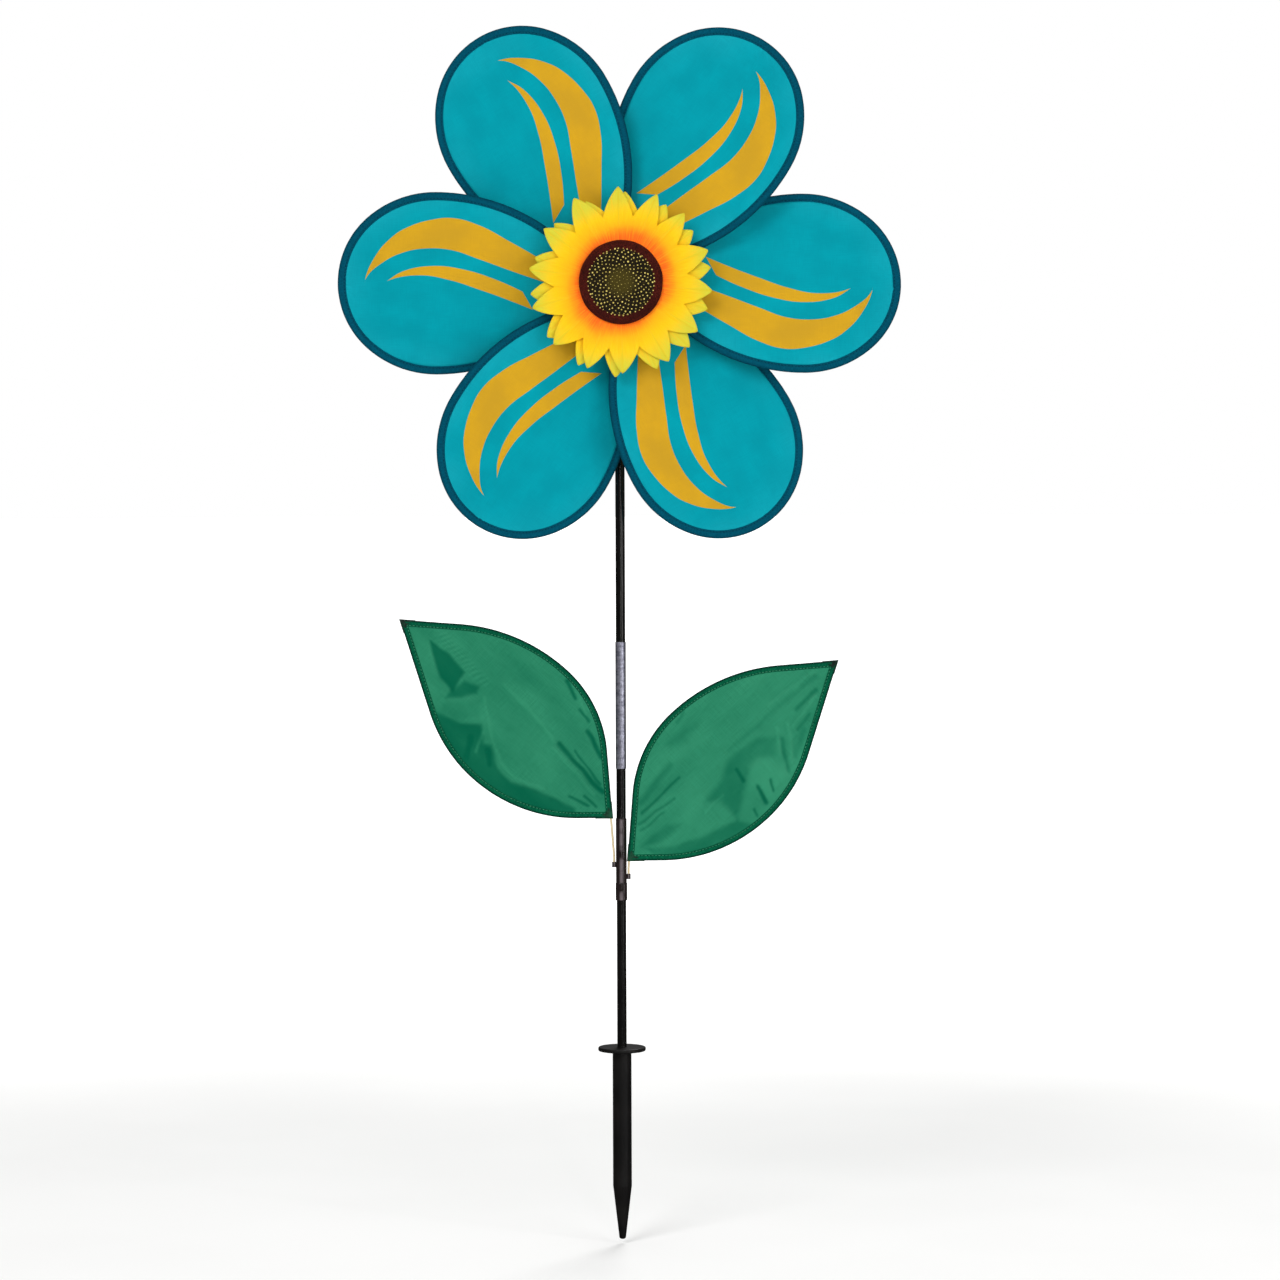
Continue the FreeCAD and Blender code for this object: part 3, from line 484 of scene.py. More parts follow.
def petal_cloth():
    """Teal polyester with a fine weave, a painted sheen that makes its outer part paler, and two gold
    printed strokes.
    """
    look = Look("petal_cloth")
    cloth = look.value("cloth")
    x, y, tone = look.parts(cloth)
    threads = look.threads(cloth, 2.6, 0.07)
    blotch = look.noise(cloth, (0.022, 0.03, 0.0), 3.0)

    teal = look.blend(blotch, 0.35, 0.7, rgb(0, 136, 150), rgb(0, 146, 160))
    # Painted sheen: the teal turns paler where the cloth's third value, its painted sheen, is high.
    teal = look.tint(teal, tone, 0.0, 1.0, rgb(20, 152, 167))
    teal = look.tint(teal, threads, 0.8, 1.25, rgb(0, 122, 137), 0.35)
    gold = look.blend(blotch, 0.3, 0.7, rgb(184, 142, 32), rgb(197, 151, 28))
    gold = look.tint(gold, threads, 0.8, 1.25, rgb(176, 132, 34), 0.3)
    mask = print_mask(look, x, y)

    bump = look.bump(look.weave(x, y, 0.7), 0.25, 0.12)
    bump = look.bump(threads, 0.25, 0.25, bump)
    rough = look.minus(0.72, look.times(mask, 0.12))
    return look.finish(Base_Color=look.mix(mask, teal, gold), Roughness=rough,
                       Specular_IOR_Level=0.03, Sheen_Weight=0.01, Sheen_Roughness=0.4,
                       Sheen_Tint=rgb(0, 190, 205), Normal=bump)


# Colour of the painted shade over a tape's fold round the rod.
FOLD_SHADOW_COLOUR = (0.0, 0.006, 0.006, 1.0)
# Colour of the painted shade in the crease along a tape's stitches.
CREASE_SHADOW_COLOUR = (0.0, 0.004, 0.006, 1.0)
RIB_PITCH = 0.9


def tape(name, dark, light, stitch_at, fold_shadow):
    """A folded edging tape with crosswise ribs and a crease along its row of stitches, with painted
    shade in that crease and over its fold round the rod.
    """
    look = Look(name)
    strip = look.value("strip")
    along, across, _ = look.parts(strip)
    ribs = look.math("SINE", look.times(along, 2 * math.pi / RIB_PITCH))
    fibres = look.noise(strip, (1.6, 0.35, 0.0), 3.0)
    worn = look.noise(strip, (0.03, 0.2, 0.0))
    away = look.math("ABSOLUTE", look.minus(across, stitch_at))
    crease = look.between(away, 0.15, 0.8, 1.0, 0.0)

    colour = look.blend(fibres, 0.35, 0.7, dark, light)
    colour = look.tint(colour, worn, 0.45, 0.8, light, 0.45)
    # Painted shade: the tape is darkened in the crease along its stitches.
    colour = look.mix(look.times(crease, 0.45), colour, CREASE_SHADOW_COLOUR)
    # Painted shade: the tape is darkened over its rounded fold round the rod, by the strength given as
    # the last argument.
    colour = look.tint(colour, across, -1.2, 1.2, FOLD_SHADOW_COLOUR, fold_shadow)
    bump = look.bump(ribs, 0.25, 0.12)
    bump = look.bump(fibres, 0.3, 0.2, bump)
    bump = look.bump(crease, 0.5, -0.3, bump)
    return look.finish(Base_Color=colour, Roughness=0.8, Specular_IOR_Level=0.03, Normal=bump)


def grained(name, rates, colours, bump, rough, **inputs):
    """A surface of one grain: its rates, its colours between two levels, and its bump."""
    look = Look(name)
    grain = look.noise(look.place(), rates)
    return look.finish(Base_Color=look.blend(grain, *colours), Roughness=rough,
                       Normal=look.bump(grain, *bump), **inputs)


def thread(name, dark, light):
    """Twisted sewing thread."""
    colours = 0.35, 0.65, dark, light
    return grained(name, 2.5, colours, (0.4, 0.15), 0.75, Specular_IOR_Level=0.08)


def leaf_cloth():
    """Shiny green nylon, with painted highlight and painted shade: lighter where its tone says it
    catches the light, darker in its folds.
    """
    look = Look("leaf_cloth")
    cloth = look.value("cloth")
    x, y, tone = look.parts(cloth)
    threads = look.threads(cloth, 2.2, 0.06)
    blotch = look.noise(cloth, (0.02, 0.045, 0.0), 4.0, 0.6)
    # Painted light and shade: the tone, made uneven, sets how light the green is.
    light = look.plus(tone, look.times(look.minus(blotch, 0.5), 0.4))

    green = look.blend(light, -0.1, 0.95, rgb(0, 84, 60), rgb(42, 134, 99))
    green = look.tint(green, threads, 0.8, 1.25, rgb(4, 88, 62), 0.3)
    bump = look.bump(look.weave(x, y, 0.6), 0.2, 0.1)
    bump = look.bump(blotch, 0.35, 2.5, bump)
    rough = look.between(light, -0.1, 0.9, 0.34, 0.48)
    shine = look.between(light, 0.1, 0.9, 0.02, 0.14)
    return look.finish(Base_Color=green, Roughness=rough, Specular_IOR_Level=shine,
                       Sheen_Weight=0.01, Sheen_Tint=rgb(40, 170, 110), Normal=bump)


def patch_cloth(name, dark, light, shine):
    """A folded patch of the leaf's own cloth, doubled over and so darker."""
    look = Look(name)
    place = look.place()
    x, _, z = look.parts(place)
    folds = look.noise(place, 0.25, 3.0)
    colour = look.blend(folds, 0.35, 0.65, dark, light)
    bump = look.bump(look.weave(x, z, 0.6), 0.3, 0.12)
    bump = look.bump(folds, 0.5, 0.8, bump)
    return look.finish(Base_Color=colour, Roughness=shine, Specular_IOR_Level=0.2, Normal=bump)


# ---------------- sunflower materials

# The orange glow is a little longer along one line through the middle, at this angle.
GLOW_ANGLE, GLOW_STRETCH = 52.0, 3.6


def sunflower_silk():
    """Printed silk: orange by the seeds, then yellow, then greenish at the tips, with veins."""
    look = Look("sunflower_silk")
    flower = look.value("flower")
    radius, angle, ridge = look.parts(flower)
    place = look.place()
    patch = look.noise(place, 0.03, 3.0)
    way = look.vector_math("NORMALIZE", look.from_axle(place))
    veins = look.noise(look.streaks(way, radius, 55.0), 1.0)
    fine = look.noise(look.streaks(way, radius, 190.0), 1.0, 1.0)
    turn = look.times(look.minus(angle, GLOW_ANGLE), math.radians(2.0))
    longer = look.times(look.math("COSINE", turn), GLOW_STRETCH)
    reach = look.minus(radius, longer)
    reach = look.plus(reach, look.times(look.minus(patch, 0.5), 16.0))

    colour = look.blend(reach, 36.0, 49.0, rgb(248, 96, 14), rgb(250, 160, 6))
    colour = look.tint(colour, reach, 44.0, 60.0, rgb(234, 184, 4))
    colour = look.tint(colour, reach, 56.0, 76.0, rgb(196, 188, 50))
    colour = look.tint(colour, veins, 0.5, 0.75, rgb(240, 166, 4), 0.4)
    colour = look.tint(colour, fine, 0.5, 0.8, rgb(222, 200, 44), 0.35)
    colour = look.tint(colour, ridge, 0.55, 1.0, rgb(196, 176, 26), 0.45)
    bump = look.bump(veins, 0.5, 0.5)
    bump = look.bump(fine, 0.4, 0.25, bump)
    return look.finish(Base_Color=colour, Roughness=0.6, Specular_IOR_Level=0.12,
                       Subsurface_Weight=0.08, Subsurface_Scale=0.002, Normal=bump)


def seed_face():
    """The flocked disc: olive in the middle, near black further out, and a maroon ring."""
    look = Look("seed_face")
    place = look.place()
    radius = look.vector_math("LENGTH", look.from_axle(place))
    speckle = look.noise(place, 1.3, 4.0, 0.7)
    fluff = look.noise(place, 0.5, 3.0, 0.7)
    colour = look.blend(radius, 6.0, 17.0, rgb(62, 54, 18), rgb(22, 18, 12))
    colour = look.tint(colour, speckle, 0.52, 0.7, rgb(96, 82, 34), 0.6)
    shade = look.noise(place, 0.06)
    maroon = look.blend(speckle, 0.4, 0.65, rgb(36, 9, 8), rgb(92, 28, 18))
    maroon = look.tint(maroon, shade, 0.4, 0.65, rgb(34, 9, 7), 0.5)
    colour = look.tint(colour, radius, 27.4, 28.8, maroon)
    bump = look.bump(speckle, 0.9, 0.6)
    bump = look.bump(fluff, 0.6, 0.8, bump)
    return look.finish(Base_Color=colour, Roughness=0.92, Specular_IOR_Level=0.08,
                       Sheen_Weight=0.05, Sheen_Tint=rgb(120, 60, 50), Normal=bump)


def seed_dots():
    """The pale seeds set in the disc."""
    colours = 0.35, 0.65, rgb(170, 148, 62), rgb(240, 218, 118)
    return grained("seed_dots", 0.45, colours, (0.4, 0.3), 0.65)


# ---------------- hard materials

def plastic(name, dark, light, rough, grain=0.9, polish=0.0, painted_gleam=None):
    """Moulded plastic with a fine grain and faint clouding, and a painted highlight where it faces the
    viewer.
    """
    look = Look(name)
    place = look.place()
    cloud = look.noise(place, 0.03, 3.0)
    pits = look.noise(place, grain, 3.0)
    scuffs = look.noise(place, (1.2, 1.2, 0.05))
    colour = look.blend(cloud, 0.35, 0.7, dark, light)
    if painted_gleam:
        # Painted highlight: the colour turns in patches towards a light colour where the surface faces
        # the viewer.
        faced = look.between(look.facing(), 0.0, 0.1, 1.0, 0.0)
        patchy = look.between(look.noise(place, (0.05, 0.05, 0.12), 1.0), 0.35, 0.55)
        colour = look.mix(look.times(faced, patchy), colour, painted_gleam)
    uneven_rough = look.between(scuffs, 0.3, 0.8, rough - 0.06, rough + 0.1)
    return look.finish(Base_Color=colour, Roughness=uneven_rough, Specular_IOR_Level=0.25,
                       Coat_Weight=polish, Coat_Roughness=0.12, Normal=look.bump(pits, 0.2, 0.12))


def rod_fibreglass():
    """Cream rod with the lengthwise streaks of its fibres."""
    colours = 0.3, 0.7, rgb(186, 166, 124), rgb(216, 200, 166)
    return grained("rod_fibreglass", (3.0, 3.0, 0.12), colours, (0.3, 0.1), 0.45)


def ferrule_metal():
    """Drawn metal: streaks along the pole, uneven clouding, and a painted reflection that darkens its
    sides where they turn from the viewer.
    """
    look = Look("ferrule_metal")
    place = look.place()
    streaks = look.noise(place, (2.4, 2.4, 0.25), 3.0, 0.6)
    cloud = look.noise(place, (0.2, 0.2, 0.35), 3.0, 0.7)
    colour = look.blend(cloud, 0.3, 0.7, rgb(124, 124, 140), rgb(188, 188, 204))
    # Painted reflection: the sides, where they turn from the viewer, are darkened as if they reflected
    # dark surroundings.
    colour = look.tint(colour, look.facing(), 0.25, 0.75, rgb(18, 17, 22))
    rough = look.between(streaks, 0.3, 0.8, 0.29, 0.49)
    return look.finish(Base_Color=colour, Metallic=0.85, Roughness=rough,
                       Normal=look.bump(streaks, 0.25, 0.1))


def axle_steel():
    """Turned steel: fine rings along the axle."""
    look = Look("axle_steel")
    rings = look.noise(look.place(), (0.4, 2.5, 0.4), 3.0)
    colour = look.mix(rings, rgb(160, 160, 164), rgb(196, 196, 200))
    rough = look.between(rings, 0.3, 0.7, 0.25, 0.4)
    return look.finish(Base_Color=colour, Metallic=1.0, Roughness=rough,
                       Normal=look.bump(rings, 0.2, 0.08))


# Each plastic's dark and light tone, roughness, and where they differ grain, polish and the colour of
# a painted highlight.
BLACK = rgb(9, 8, 8), rgb(20, 18, 17)
PLASTICS = {
    "stake_plastic": (*BLACK, 0.42),
    "pole_black": (rgb(5, 4, 4), rgb(15, 13, 12), 0.24, 0.5, 0.15),
    # The grip's last colour is its painted highlight.
    "grip_vinyl": (rgb(14, 9, 9), rgb(40, 31, 30), 0.22, 0.35, 0.4, rgb(92, 83, 86)),
    "fitting_plastic": (*BLACK, 0.38),
    "bush_nylon": (rgb(214, 212, 202), rgb(232, 230, 222), 0.4),
    "cap_plastic": (*BLACK, 0.28, 0.6, 0.3),
}
# Keyed by the names of the CAD's own materials, which they take the place of.
HARD_LOOKS = {name: plastic(name, *settings) for name, settings in PLASTICS.items()}
HARD_LOOKS["ferrule_metal"] = ferrule_metal()
HARD_LOOKS["rod_fibreglass"] = rod_fibreglass()
HARD_LOOKS["axle_steel"] = axle_steel()


# ---------------- shared shapes in cloth

# How far apart the points on a rod's line are, for the cloth, the tape and the stitches.
CLOTH_STEP, TAPE_STEP, SEWN_STEP = 1.0, 1.5, 0.5
STITCH_PITCH = 3.0
STITCH_LENGTH = 2.1
STITCH_SIDES = 6
# A stitch from end to end: how far along, how thick, and how far it dips into the cloth.
STITCH_RINGS = [(-0.5, 0.3, -0.16), (-0.3, 0.9, 0.0), (0.3, 0.9, 0.0), (0.5, 0.3, -0.16)]
STITCH_WIDE, STITCH_TALL = 0.24, 0.17
# How far a tape puckers, and how far each stitch pulls it in.
PUCKER, STITCH_PULL = 0.14, 0.05


def taped_edge(name, runs, section, matrix, seed):
    """Tape folded over a rod. section is its upper half as (outward, height) from the inner edge."""
    around = section + [(out, -height) for out, height in reversed(section[:-1])]
    verts, strip, faces = [], [], []
    for rows in runs:
        faces += tube_faces(len(rows), len(around), len(verts))
        along, last = 0.0, rows[0][0]
        for point, out in rows:
            along += (point - last).length
            last = point
            for reach, height in around:
                face = math.copysign(3.0, height)
                pucker = PUCKER * uneven(along * 0.3, reach * 0.5, seed + face)
                pulled = STITCH_PULL * math.sin(2 * math.pi * along / STITCH_PITCH)
                side = math.copysign(1.0, height) if height else 0.0
                flat = point + out * (reach + 0.6 * pucker)
                verts.append((flat.x, flat.y, height + side * (pucker + pulled)))
                strip.append((along, reach, 0.0))
    return tidy_mesh(build_mesh(name, verts, faces, matrix, {"strip": strip}))


def stitch(centre, forward, out, side, height):
    """The points of one stitch on one side of a tape."""
    points = []
    for share, size, dip in STITCH_RINGS:
        middle = centre + forward * share * STITCH_LENGTH
        for turn in circle(STITCH_SIDES):
            across, up = polar(size, turn)
            flat = middle + out * (STITCH_WIDE * across)
            points.append((flat.x, flat.y, side * (height + dip + STITCH_TALL * up)))
    return points


def stitch_row(name, runs, inset, height, matrix):
    """A row of stitches on both faces of a tape, at inset from the rod's line."""
    verts, faces = [], []
    for rows in runs:
        walked, due, last = 0.0, STITCH_PITCH, rows[0][0]
        for point, out in rows[1:]:
            forward, last = point - last, point
            walked += forward.length
            if walked < due:
                continue
            due += STITCH_PITCH
            for side in (1, -1):
                faces += tube_faces(len(STITCH_RINGS), STITCH_SIDES, len(verts))
                verts += stitch(point - out * inset, forward.normalized(), out, side, height)
    return tidy_mesh(build_mesh(name, verts, faces, matrix), 0.001)


def cloth_sheet(name, verts, faces, matrix, values, thickness):
    """One sheet of cloth with a real thickness."""
    piece = tidy_mesh(build_mesh(name, verts, faces, matrix, values), 0.01)
    shell = piece.modifiers.new("Thickness", "SOLIDIFY")
    shell.thickness = thickness * MM
    shell.offset = 0.0
    return piece


# ---------------- petals

PETAL_LOOKS = {
    "cloth": petal_cloth(),
    "binding": tape("petal_binding_look", rgb(0, 61, 81), rgb(0, 79, 99), -3.9, 0.3),
    "thread": thread("petal_thread_look", rgb(0, 64, 82), rgb(4, 88, 106)),
}
PANEL_THICKNESS = 0.28
PETAL_CLOTH_INSET = 4.5
PETAL_ROWS, PETAL_COLUMNS = 96, 52
# The tape's upper half from its inner edge to its fold, with the sewn crease at -3.6.
BINDING = [(-5.4, 0.34), (-4.7, 0.62), (-3.6, 0.55), (-2.6, 0.7), (-1.5, 1.02), (-0.6, 1.42),
           (0.3, 1.5), (1.1, 1.1), (1.5, 0.5), (1.6, 0.0)]
# How far in from the rod and how high off the cloth's middle the stitches run.
BINDING_STITCH = 3.9, 0.6
# The billow's start and length along the petal, and how strong each kind of billow is.
BILLOW_START, BILLOW_LENGTH = 20, 216
BELLY, SLACK, PULL, EDGE_PUCKER = 0.9, 0.8, 0.5, 2.0
EDGE_ZONE = 0.72
# Painted sheen: the cloth is painted paler outside this circle, and how far out from it the paling
# grows.
SHEEN_CENTRE, SHEEN_RADIUS, SHEEN_FADE = 150, 52, 40
# How far out, how far clockwise and how many degrees clockwise about the hub each petal's print
# is moved, since no two panels are cut quite alike.
PRINT_MOVES = [(-2.1, -1.4, 1.5), (-3.2, -9.7, 5.0), (-2.6, -2.0, 1.4), (-0.8, 0.4, 0.3),
               (-2.4, -7.3, 4.4), (-2.7, -3.2, 3.1)]


def print_place(number, x, y):
    """Where a place on a petal lies in the drawing of its print."""
    out, clockwise, turn = PRINT_MOVES[number - 1]
    cosine, sine = math.cos(math.radians(turn)), math.sin(math.radians(turn))
    along, across = x - out, -y - clockwise
    return along * cosine + across * sine, along * sine - across * cosine


def petal_billow(x, t, number):
    """How far a petal's cloth stands off flat, t running from -1 to 1 across it."""
    free = (1 - t * t) ** 0.7
    belly = math.sin(math.pi * clamped((x - BILLOW_START) / BILLOW_LENGTH))
    slack = uneven(x / 46, t * 1.1, number * 7.3)
    # Pulls run out from the hub along the cloth, and small puckers along its edges.
    pull = uneven(x / 120, t * 5.5, number * 3.1 + 40)
    edge = uneven(x / 9, t * 2.0, number * 5.7 + 80)
    edge *= max(0.0, abs(t) - EDGE_ZONE) / (1 - EDGE_ZONE)
    return free * (BELLY * belly + SLACK * slack + PULL * pull) + EDGE_PUCKER * edge * (1 - abs(t))


def petal_panel(number):
    edge = moved_in(petal_line(CLOTH_STEP), PETAL_CLOTH_INSET)
    half = [point for point in edge if point.y > 0][::-1]
    root, tip = half[0].x, edge[len(edge) // 2].x
    verts, cloth = [], []
    for row in range(PETAL_ROWS):
        x = tip - (tip - root) * (1 - row / PETAL_ROWS) ** 1.5
        width = height_at(half, x)
        for column in range(PETAL_COLUMNS):
            t = 2 * column / (PETAL_COLUMNS - 1) - 1
            y = t * width
            # Painted sheen: how much paler the cloth is painted here, growing outside a circle and
            # uneven from place to place.
            pale = max(0.0, (math.hypot(x - SHEEN_CENTRE, y * 1.15) - SHEEN_RADIUS) / SHEEN_FADE)
            pale *= 0.5 + 0.5 * uneven(x / 30, y / 30, number * 2.9)
            verts.append((x, y, petal_billow(x, t, number)))
            cloth.append((*print_place(number, x, y), clamped(pale)))
    faces = grid_faces(PETAL_ROWS, PETAL_COLUMNS)
    name = f"petal_{number}_cloth"
    piece = cloth_sheet(name, verts, faces, petal_frame(number), {"cloth": cloth}, PANEL_THICKNESS)
    use(piece, "rotor", "petal_cloth", PETAL_LOOKS["cloth"], f"petal_{number}_panel")


def petal(number):
    matrix = petal_frame(number)
    petal_panel(number)
    line = [petal_line(TAPE_STEP)]
    binding = taped_edge(f"petal_{number}_tape", line, BINDING, matrix, number * 9.7)
    use(binding, "rotor", "petal_binding", PETAL_LOOKS["binding"], f"petal_{number}_binding")
    fine = [petal_line(SEWN_STEP)]
    sewn = stitch_row(f"petal_{number}_stitches", fine, *BINDING_STITCH, matrix)
    use(sewn, "rotor", "petal_binding", PETAL_LOOKS["thread"])


# ---------------- leaves

LEAF_LOOKS = {
    "cloth": leaf_cloth(),
    "hem": tape("leaf_hem_look", rgb(0, 66, 46), rgb(6, 96, 64), -2.9, 0.8),
    "thread": thread("leaf_thread_look", rgb(20, 104, 72), rgb(84, 158, 122)),
    "base_patch": patch_cloth("leaf_base_patch_look", rgb(2, 44, 28), rgb(8, 68, 44), 0.6),
    "tip_patch": patch_cloth("leaf_tip_patch_look", rgb(4, 26, 18), rgb(6, 48, 32), 0.5),
}
LEAF_CLOTH_INSET = 3.3
LEAF_CLOTH_START, LEAF_CLOTH_END_GAP = 4.0, 5.0
LEAF_CLOTH_NARROWEST = 0.6
# How far in from its edges the cloth becomes free to fold.
LEAF_FREE_AT = 9
LEAF_ROWS, LEAF_COLUMNS = 190, 96
HEM = [(-4.0, 0.3), (-3.5, 0.62), (-2.7, 0.56), (-1.8, 0.75), (-0.9, 1.25), (0.1, 1.5),
       (0.9, 1.2), (1.35, 0.6), (1.5, 0.0)]
HEM_STITCH = 2.9, 0.62
HEM_START, HEM_END_GAP = 2.2, 2.7

# Creases: a line of (along, up) points, its half width, depth, and how much light it catches, painted
# into the colour: above 0 as painted highlight, below 0 as painted shade.
CREASES = {
    "left": [
        ([(109, 60), (93, 54)], 3.0, -0.7, -0.5),
        ([(83, 49), (71, 47)], 2.6, -0.5, -0.4),
        ([(65, 40), (41, 32)], 3.4, -0.8, -0.5),
        ([(89, 56), (77, 50)], 2.2, 0.4, 0.15),
        ([(76, 15), (20, 10)], 3.4, -1.1, -0.5),
        ([(61, 20), (26, 14)], 2.0, -0.5, -0.35),
        ([(77, 9), (24, 4)], 3.0, 0.5, 0.12),
        ([(38, -12), (21, -7)], 2.4, -0.6, -0.35),
        ([(29, -3), (15, -3)], 2.4, -0.6, -0.35),
        ([(146, 21), (94, 17), (82, 14)], 3.0, 0.4, 0.1),
        ([(136, -33), (127, -48)], 4.5, -0.5, -0.25),
        ([(117, -31), (108, -39)], 3.6, -0.5, -0.25),
        ([(131, -23), (124, -38)], 3.0, 0.5, 0.25),
        ([(151, 0), (121, -22), (101, -31), (84, -34), (59, -22)], 2.6, 0.4, 0.1),
    ],
    "right": [
        ([(40, 29), (63, 32), (82, 35)], 5.0, -0.6, -0.22),
        ([(36, 21), (80, 21)], 2.2, -0.8, -0.35),
        ([(27, 16), (65, 11)], 2.2, -0.7, -0.3),
        ([(24, 11), (50, 8)], 2.0, -0.5, -0.25),
        ([(121, -9), (119, -20)], 2.6, -0.6, -0.35),
        ([(137, -35), (132, -44)], 2.8, -0.9, -0.55),
        ([(124, -31), (120, -47)], 3.2, -0.9, -0.6),
        ([(109, -44), (107, -50)], 2.6, -0.6, -0.35),
        ([(168, -16), (153, -40)], 3.8, -0.7, -0.3),
        ([(181, -9), (162, -36)], 3.0, 0.6, 0.14),
        ([(171, -6), (158, -25)], 2.4, 0.4, 0.1),
        ([(227, 3), (159, 7), (127, 8)], 4.0, -0.6, -0.14),
        ([(229, 7), (180, 13)], 3.0, 0.5, 0.1),
        ([(219, -6), (195, -6)], 3.6, -0.7, -0.28),
        ([(215, -10), (182, -15)], 2.6, 0.5, 0.14),
        ([(200, -17), (183, -20)], 2.6, -0.5, -0.2),
        ([(187, -24), (167, -34)], 5.0, -0.4, -0.14),
        ([(97, -16), (76, -16)], 2.0, 0.4, 0.14),
        ([(112, 58), (123, 60)], 2.4, -0.4, -0.2),
    ],
}
# Patches: an outline, its edge's softness, depth, and how much light it catches, painted into the
# colour: above 0 as painted highlight, below 0 as painted shade.
PATCHES = {
    "left": [
        ([(219, 4), (202, 7), (178, 4), (175, -14), (191, -13), (208, -4)], 2.0, -0.9, -0.5),
        ([(176, -14), (173, -1), (161, 4), (158, -2), (165, -13), (175, -22)], 2.5, -0.7, -0.38),
        ([(174, -28), (151, -4), (143, -15), (156, -30), (170, -35)], 3.0, -0.3, -0.1),
        ([(174, -38), (151, -30), (137, -19), (131, -23), (124, -29), (118, -26), (100, -37),
          (83, -38), (62, -27), (28, -17), (20, -24), (60, -56), (110, -66), (160, -56)],
         2.5, -0.9, -0.44),
    ],
    "right": [
        ([(166, -12), (152, -1), (131, 3), (118, 2), (106, -6), (92, -7), (82, -10), (92, -19),
          (92, -40), (110, -28), (119, -23), (131, -15), (143, -15), (154, -22)], 4.0, -0.9, -0.28),
        ([(119, -23), (131, -15), (142, -17), (149, -27), (148, -43), (134, -46), (123, -48),
          (123, -32)], 4.0, 0.8, 0.12),
        ([(91, -41), (62, -31), (35, -19), (16, -3), (20, -20), (53, -46), (80, -60), (98, -52)],
         2.5, -0.6, -0.28),
        ([(54, -9), (43, -1), (27, 1), (15, 0), (30, -9), (45, -11)], 3.0, -0.6, -0.22),
        ([(127, 46), (112, 51), (93, 50), (92, 45), (106, 40), (122, 42)], 5.0, -0.5, -0.22),
    ],
}
# Fine ripples across the cloth near the left leaf's tip, with painted light and shade along each wave.
RIPPLE_LINE, RIPPLE_WIDE, RIPPLE_PITCH = [Vector((213, 14)), Vector((160, 10))], 8.0, 4.6
# Each leaf's starting tone: how much painted highlight its cloth carries before its creases and
# patches.
LEAF_TONES = {"left": 0.53, "right": 0.6}


for table in (*CREASES.values(), *PATCHES.values()):
    table[:] = [([Vector(point) for point in points], *rest) for points, *rest in table]


def nearest(place, points):
    """How far a place is from a line through points."""
    best = 1e9
    for first, second in zip(points, points[1:]):
        line = second - first
        share = clamped((place - first).dot(line) / line.length_squared)
        best = min(best, (place - first - line * share).length)
    return best


def within(place, points):
    """Whether a place is inside the outline through points."""
    odd = False
    for first, second in zip(points, points[1:] + points[:1]):
        if (first.y > place.y) != (second.y > place.y):
            share = (place.y - first.y) / (second.y - first.y)
            if place.x < first.x + share * (second.x - first.x):
                odd = not odd
    return odd


def eased(share):
    share = clamped(share)
    return share * share * (3 - 2 * share)


def leaf_fold(side, u, v):
    """Depth and tone of a leaf's cloth at a place on it; the tone is painted light and shade."""
    depth = 0.9 * uneven(u / 55, v / 26, 3.0 + len(side))
    tone = LEAF_TONES[side] + 0.16 * uneven(u / 60, v / 16, 11.0 + len(side))
    stray = uneven(u / 13, v / 13, 21.0), uneven(u / 13, v / 13, 27.0)
    place = Vector((u, v))
    if side == "left":
        share = eased(1 - nearest(place, RIPPLE_LINE) / RIPPLE_WIDE)
        wave = share * math.sin(2 * math.pi * (u + 0.4 * v + 2 * stray[0]) / RIPPLE_PITCH)
        depth += 0.2 * wave
        tone += 0.1 * wave
    place += 1.1 * Vector(stray)
    for line, width, deep, shade in CREASES[side]:
        share = eased(1 - nearest(place, line) / width)
        depth += deep * share
        tone += shade * share
    for outline, soft, deep, shade in PATCHES[side]:
        away = nearest(place, outline + outline[:1])
        away = away if within(place, outline) else -away
        share = eased(0.5 + away / soft / 2)
        depth += deep * share
        tone += shade * share
    return depth, tone


def leaf_panel(side):
    upper, lower = [
        moved_in(leaf_line(edge, 0.5, 0.5, CLOTH_STEP), LEAF_CLOTH_INSET) for edge in LEAF_EDGES
    ]
    start, end = LEAF_CLOTH_START, LEAF_LENGTH - LEAF_CLOTH_END_GAP
    front = 1 if side == "right" else -1
    verts, cloth = [], []
    for row in range(LEAF_ROWS):
        u = start + (end - start) * row / (LEAF_ROWS - 1)
        top, bottom = height_at(upper, u), height_at(lower, u)
        middle, half = (top + bottom) / 2, max(top - bottom, LEAF_CLOTH_NARROWEST) / 2
        top, bottom = middle + half, middle - half
        for column in range(LEAF_COLUMNS):
            share = column / (LEAF_COLUMNS - 1)
            v = bottom + (top - bottom) * share
            depth, tone = leaf_fold(side, u, v)
            free = clamped(min(top - v, v - bottom) / LEAF_FREE_AT) ** 0.6
            verts.append((u, v, front * depth * free))
            cloth.append((u, v, tone))
    name = f"{side}_leaf_cloth"
    faces = grid_faces(LEAF_ROWS, LEAF_COLUMNS)
    piece = cloth_sheet(name, verts, faces, leaf_frame(side), {"cloth": cloth}, PANEL_THICKNESS)
    use(piece, f"{side}_leaf", "leaf_cloth", LEAF_LOOKS["cloth"], f"{side}_leaf_panel")


PATCH_LENGTHS = {"base_patch": 8.5, "tip_patch": 8.0}
PATCH_REACH = 1.95
PATCH_STATIONS, PATCH_SIDES = 26, 36
PATCH_PINCH, PATCH_CREASE, PATCH_FRAY = 0.42, 0.3, 0.35


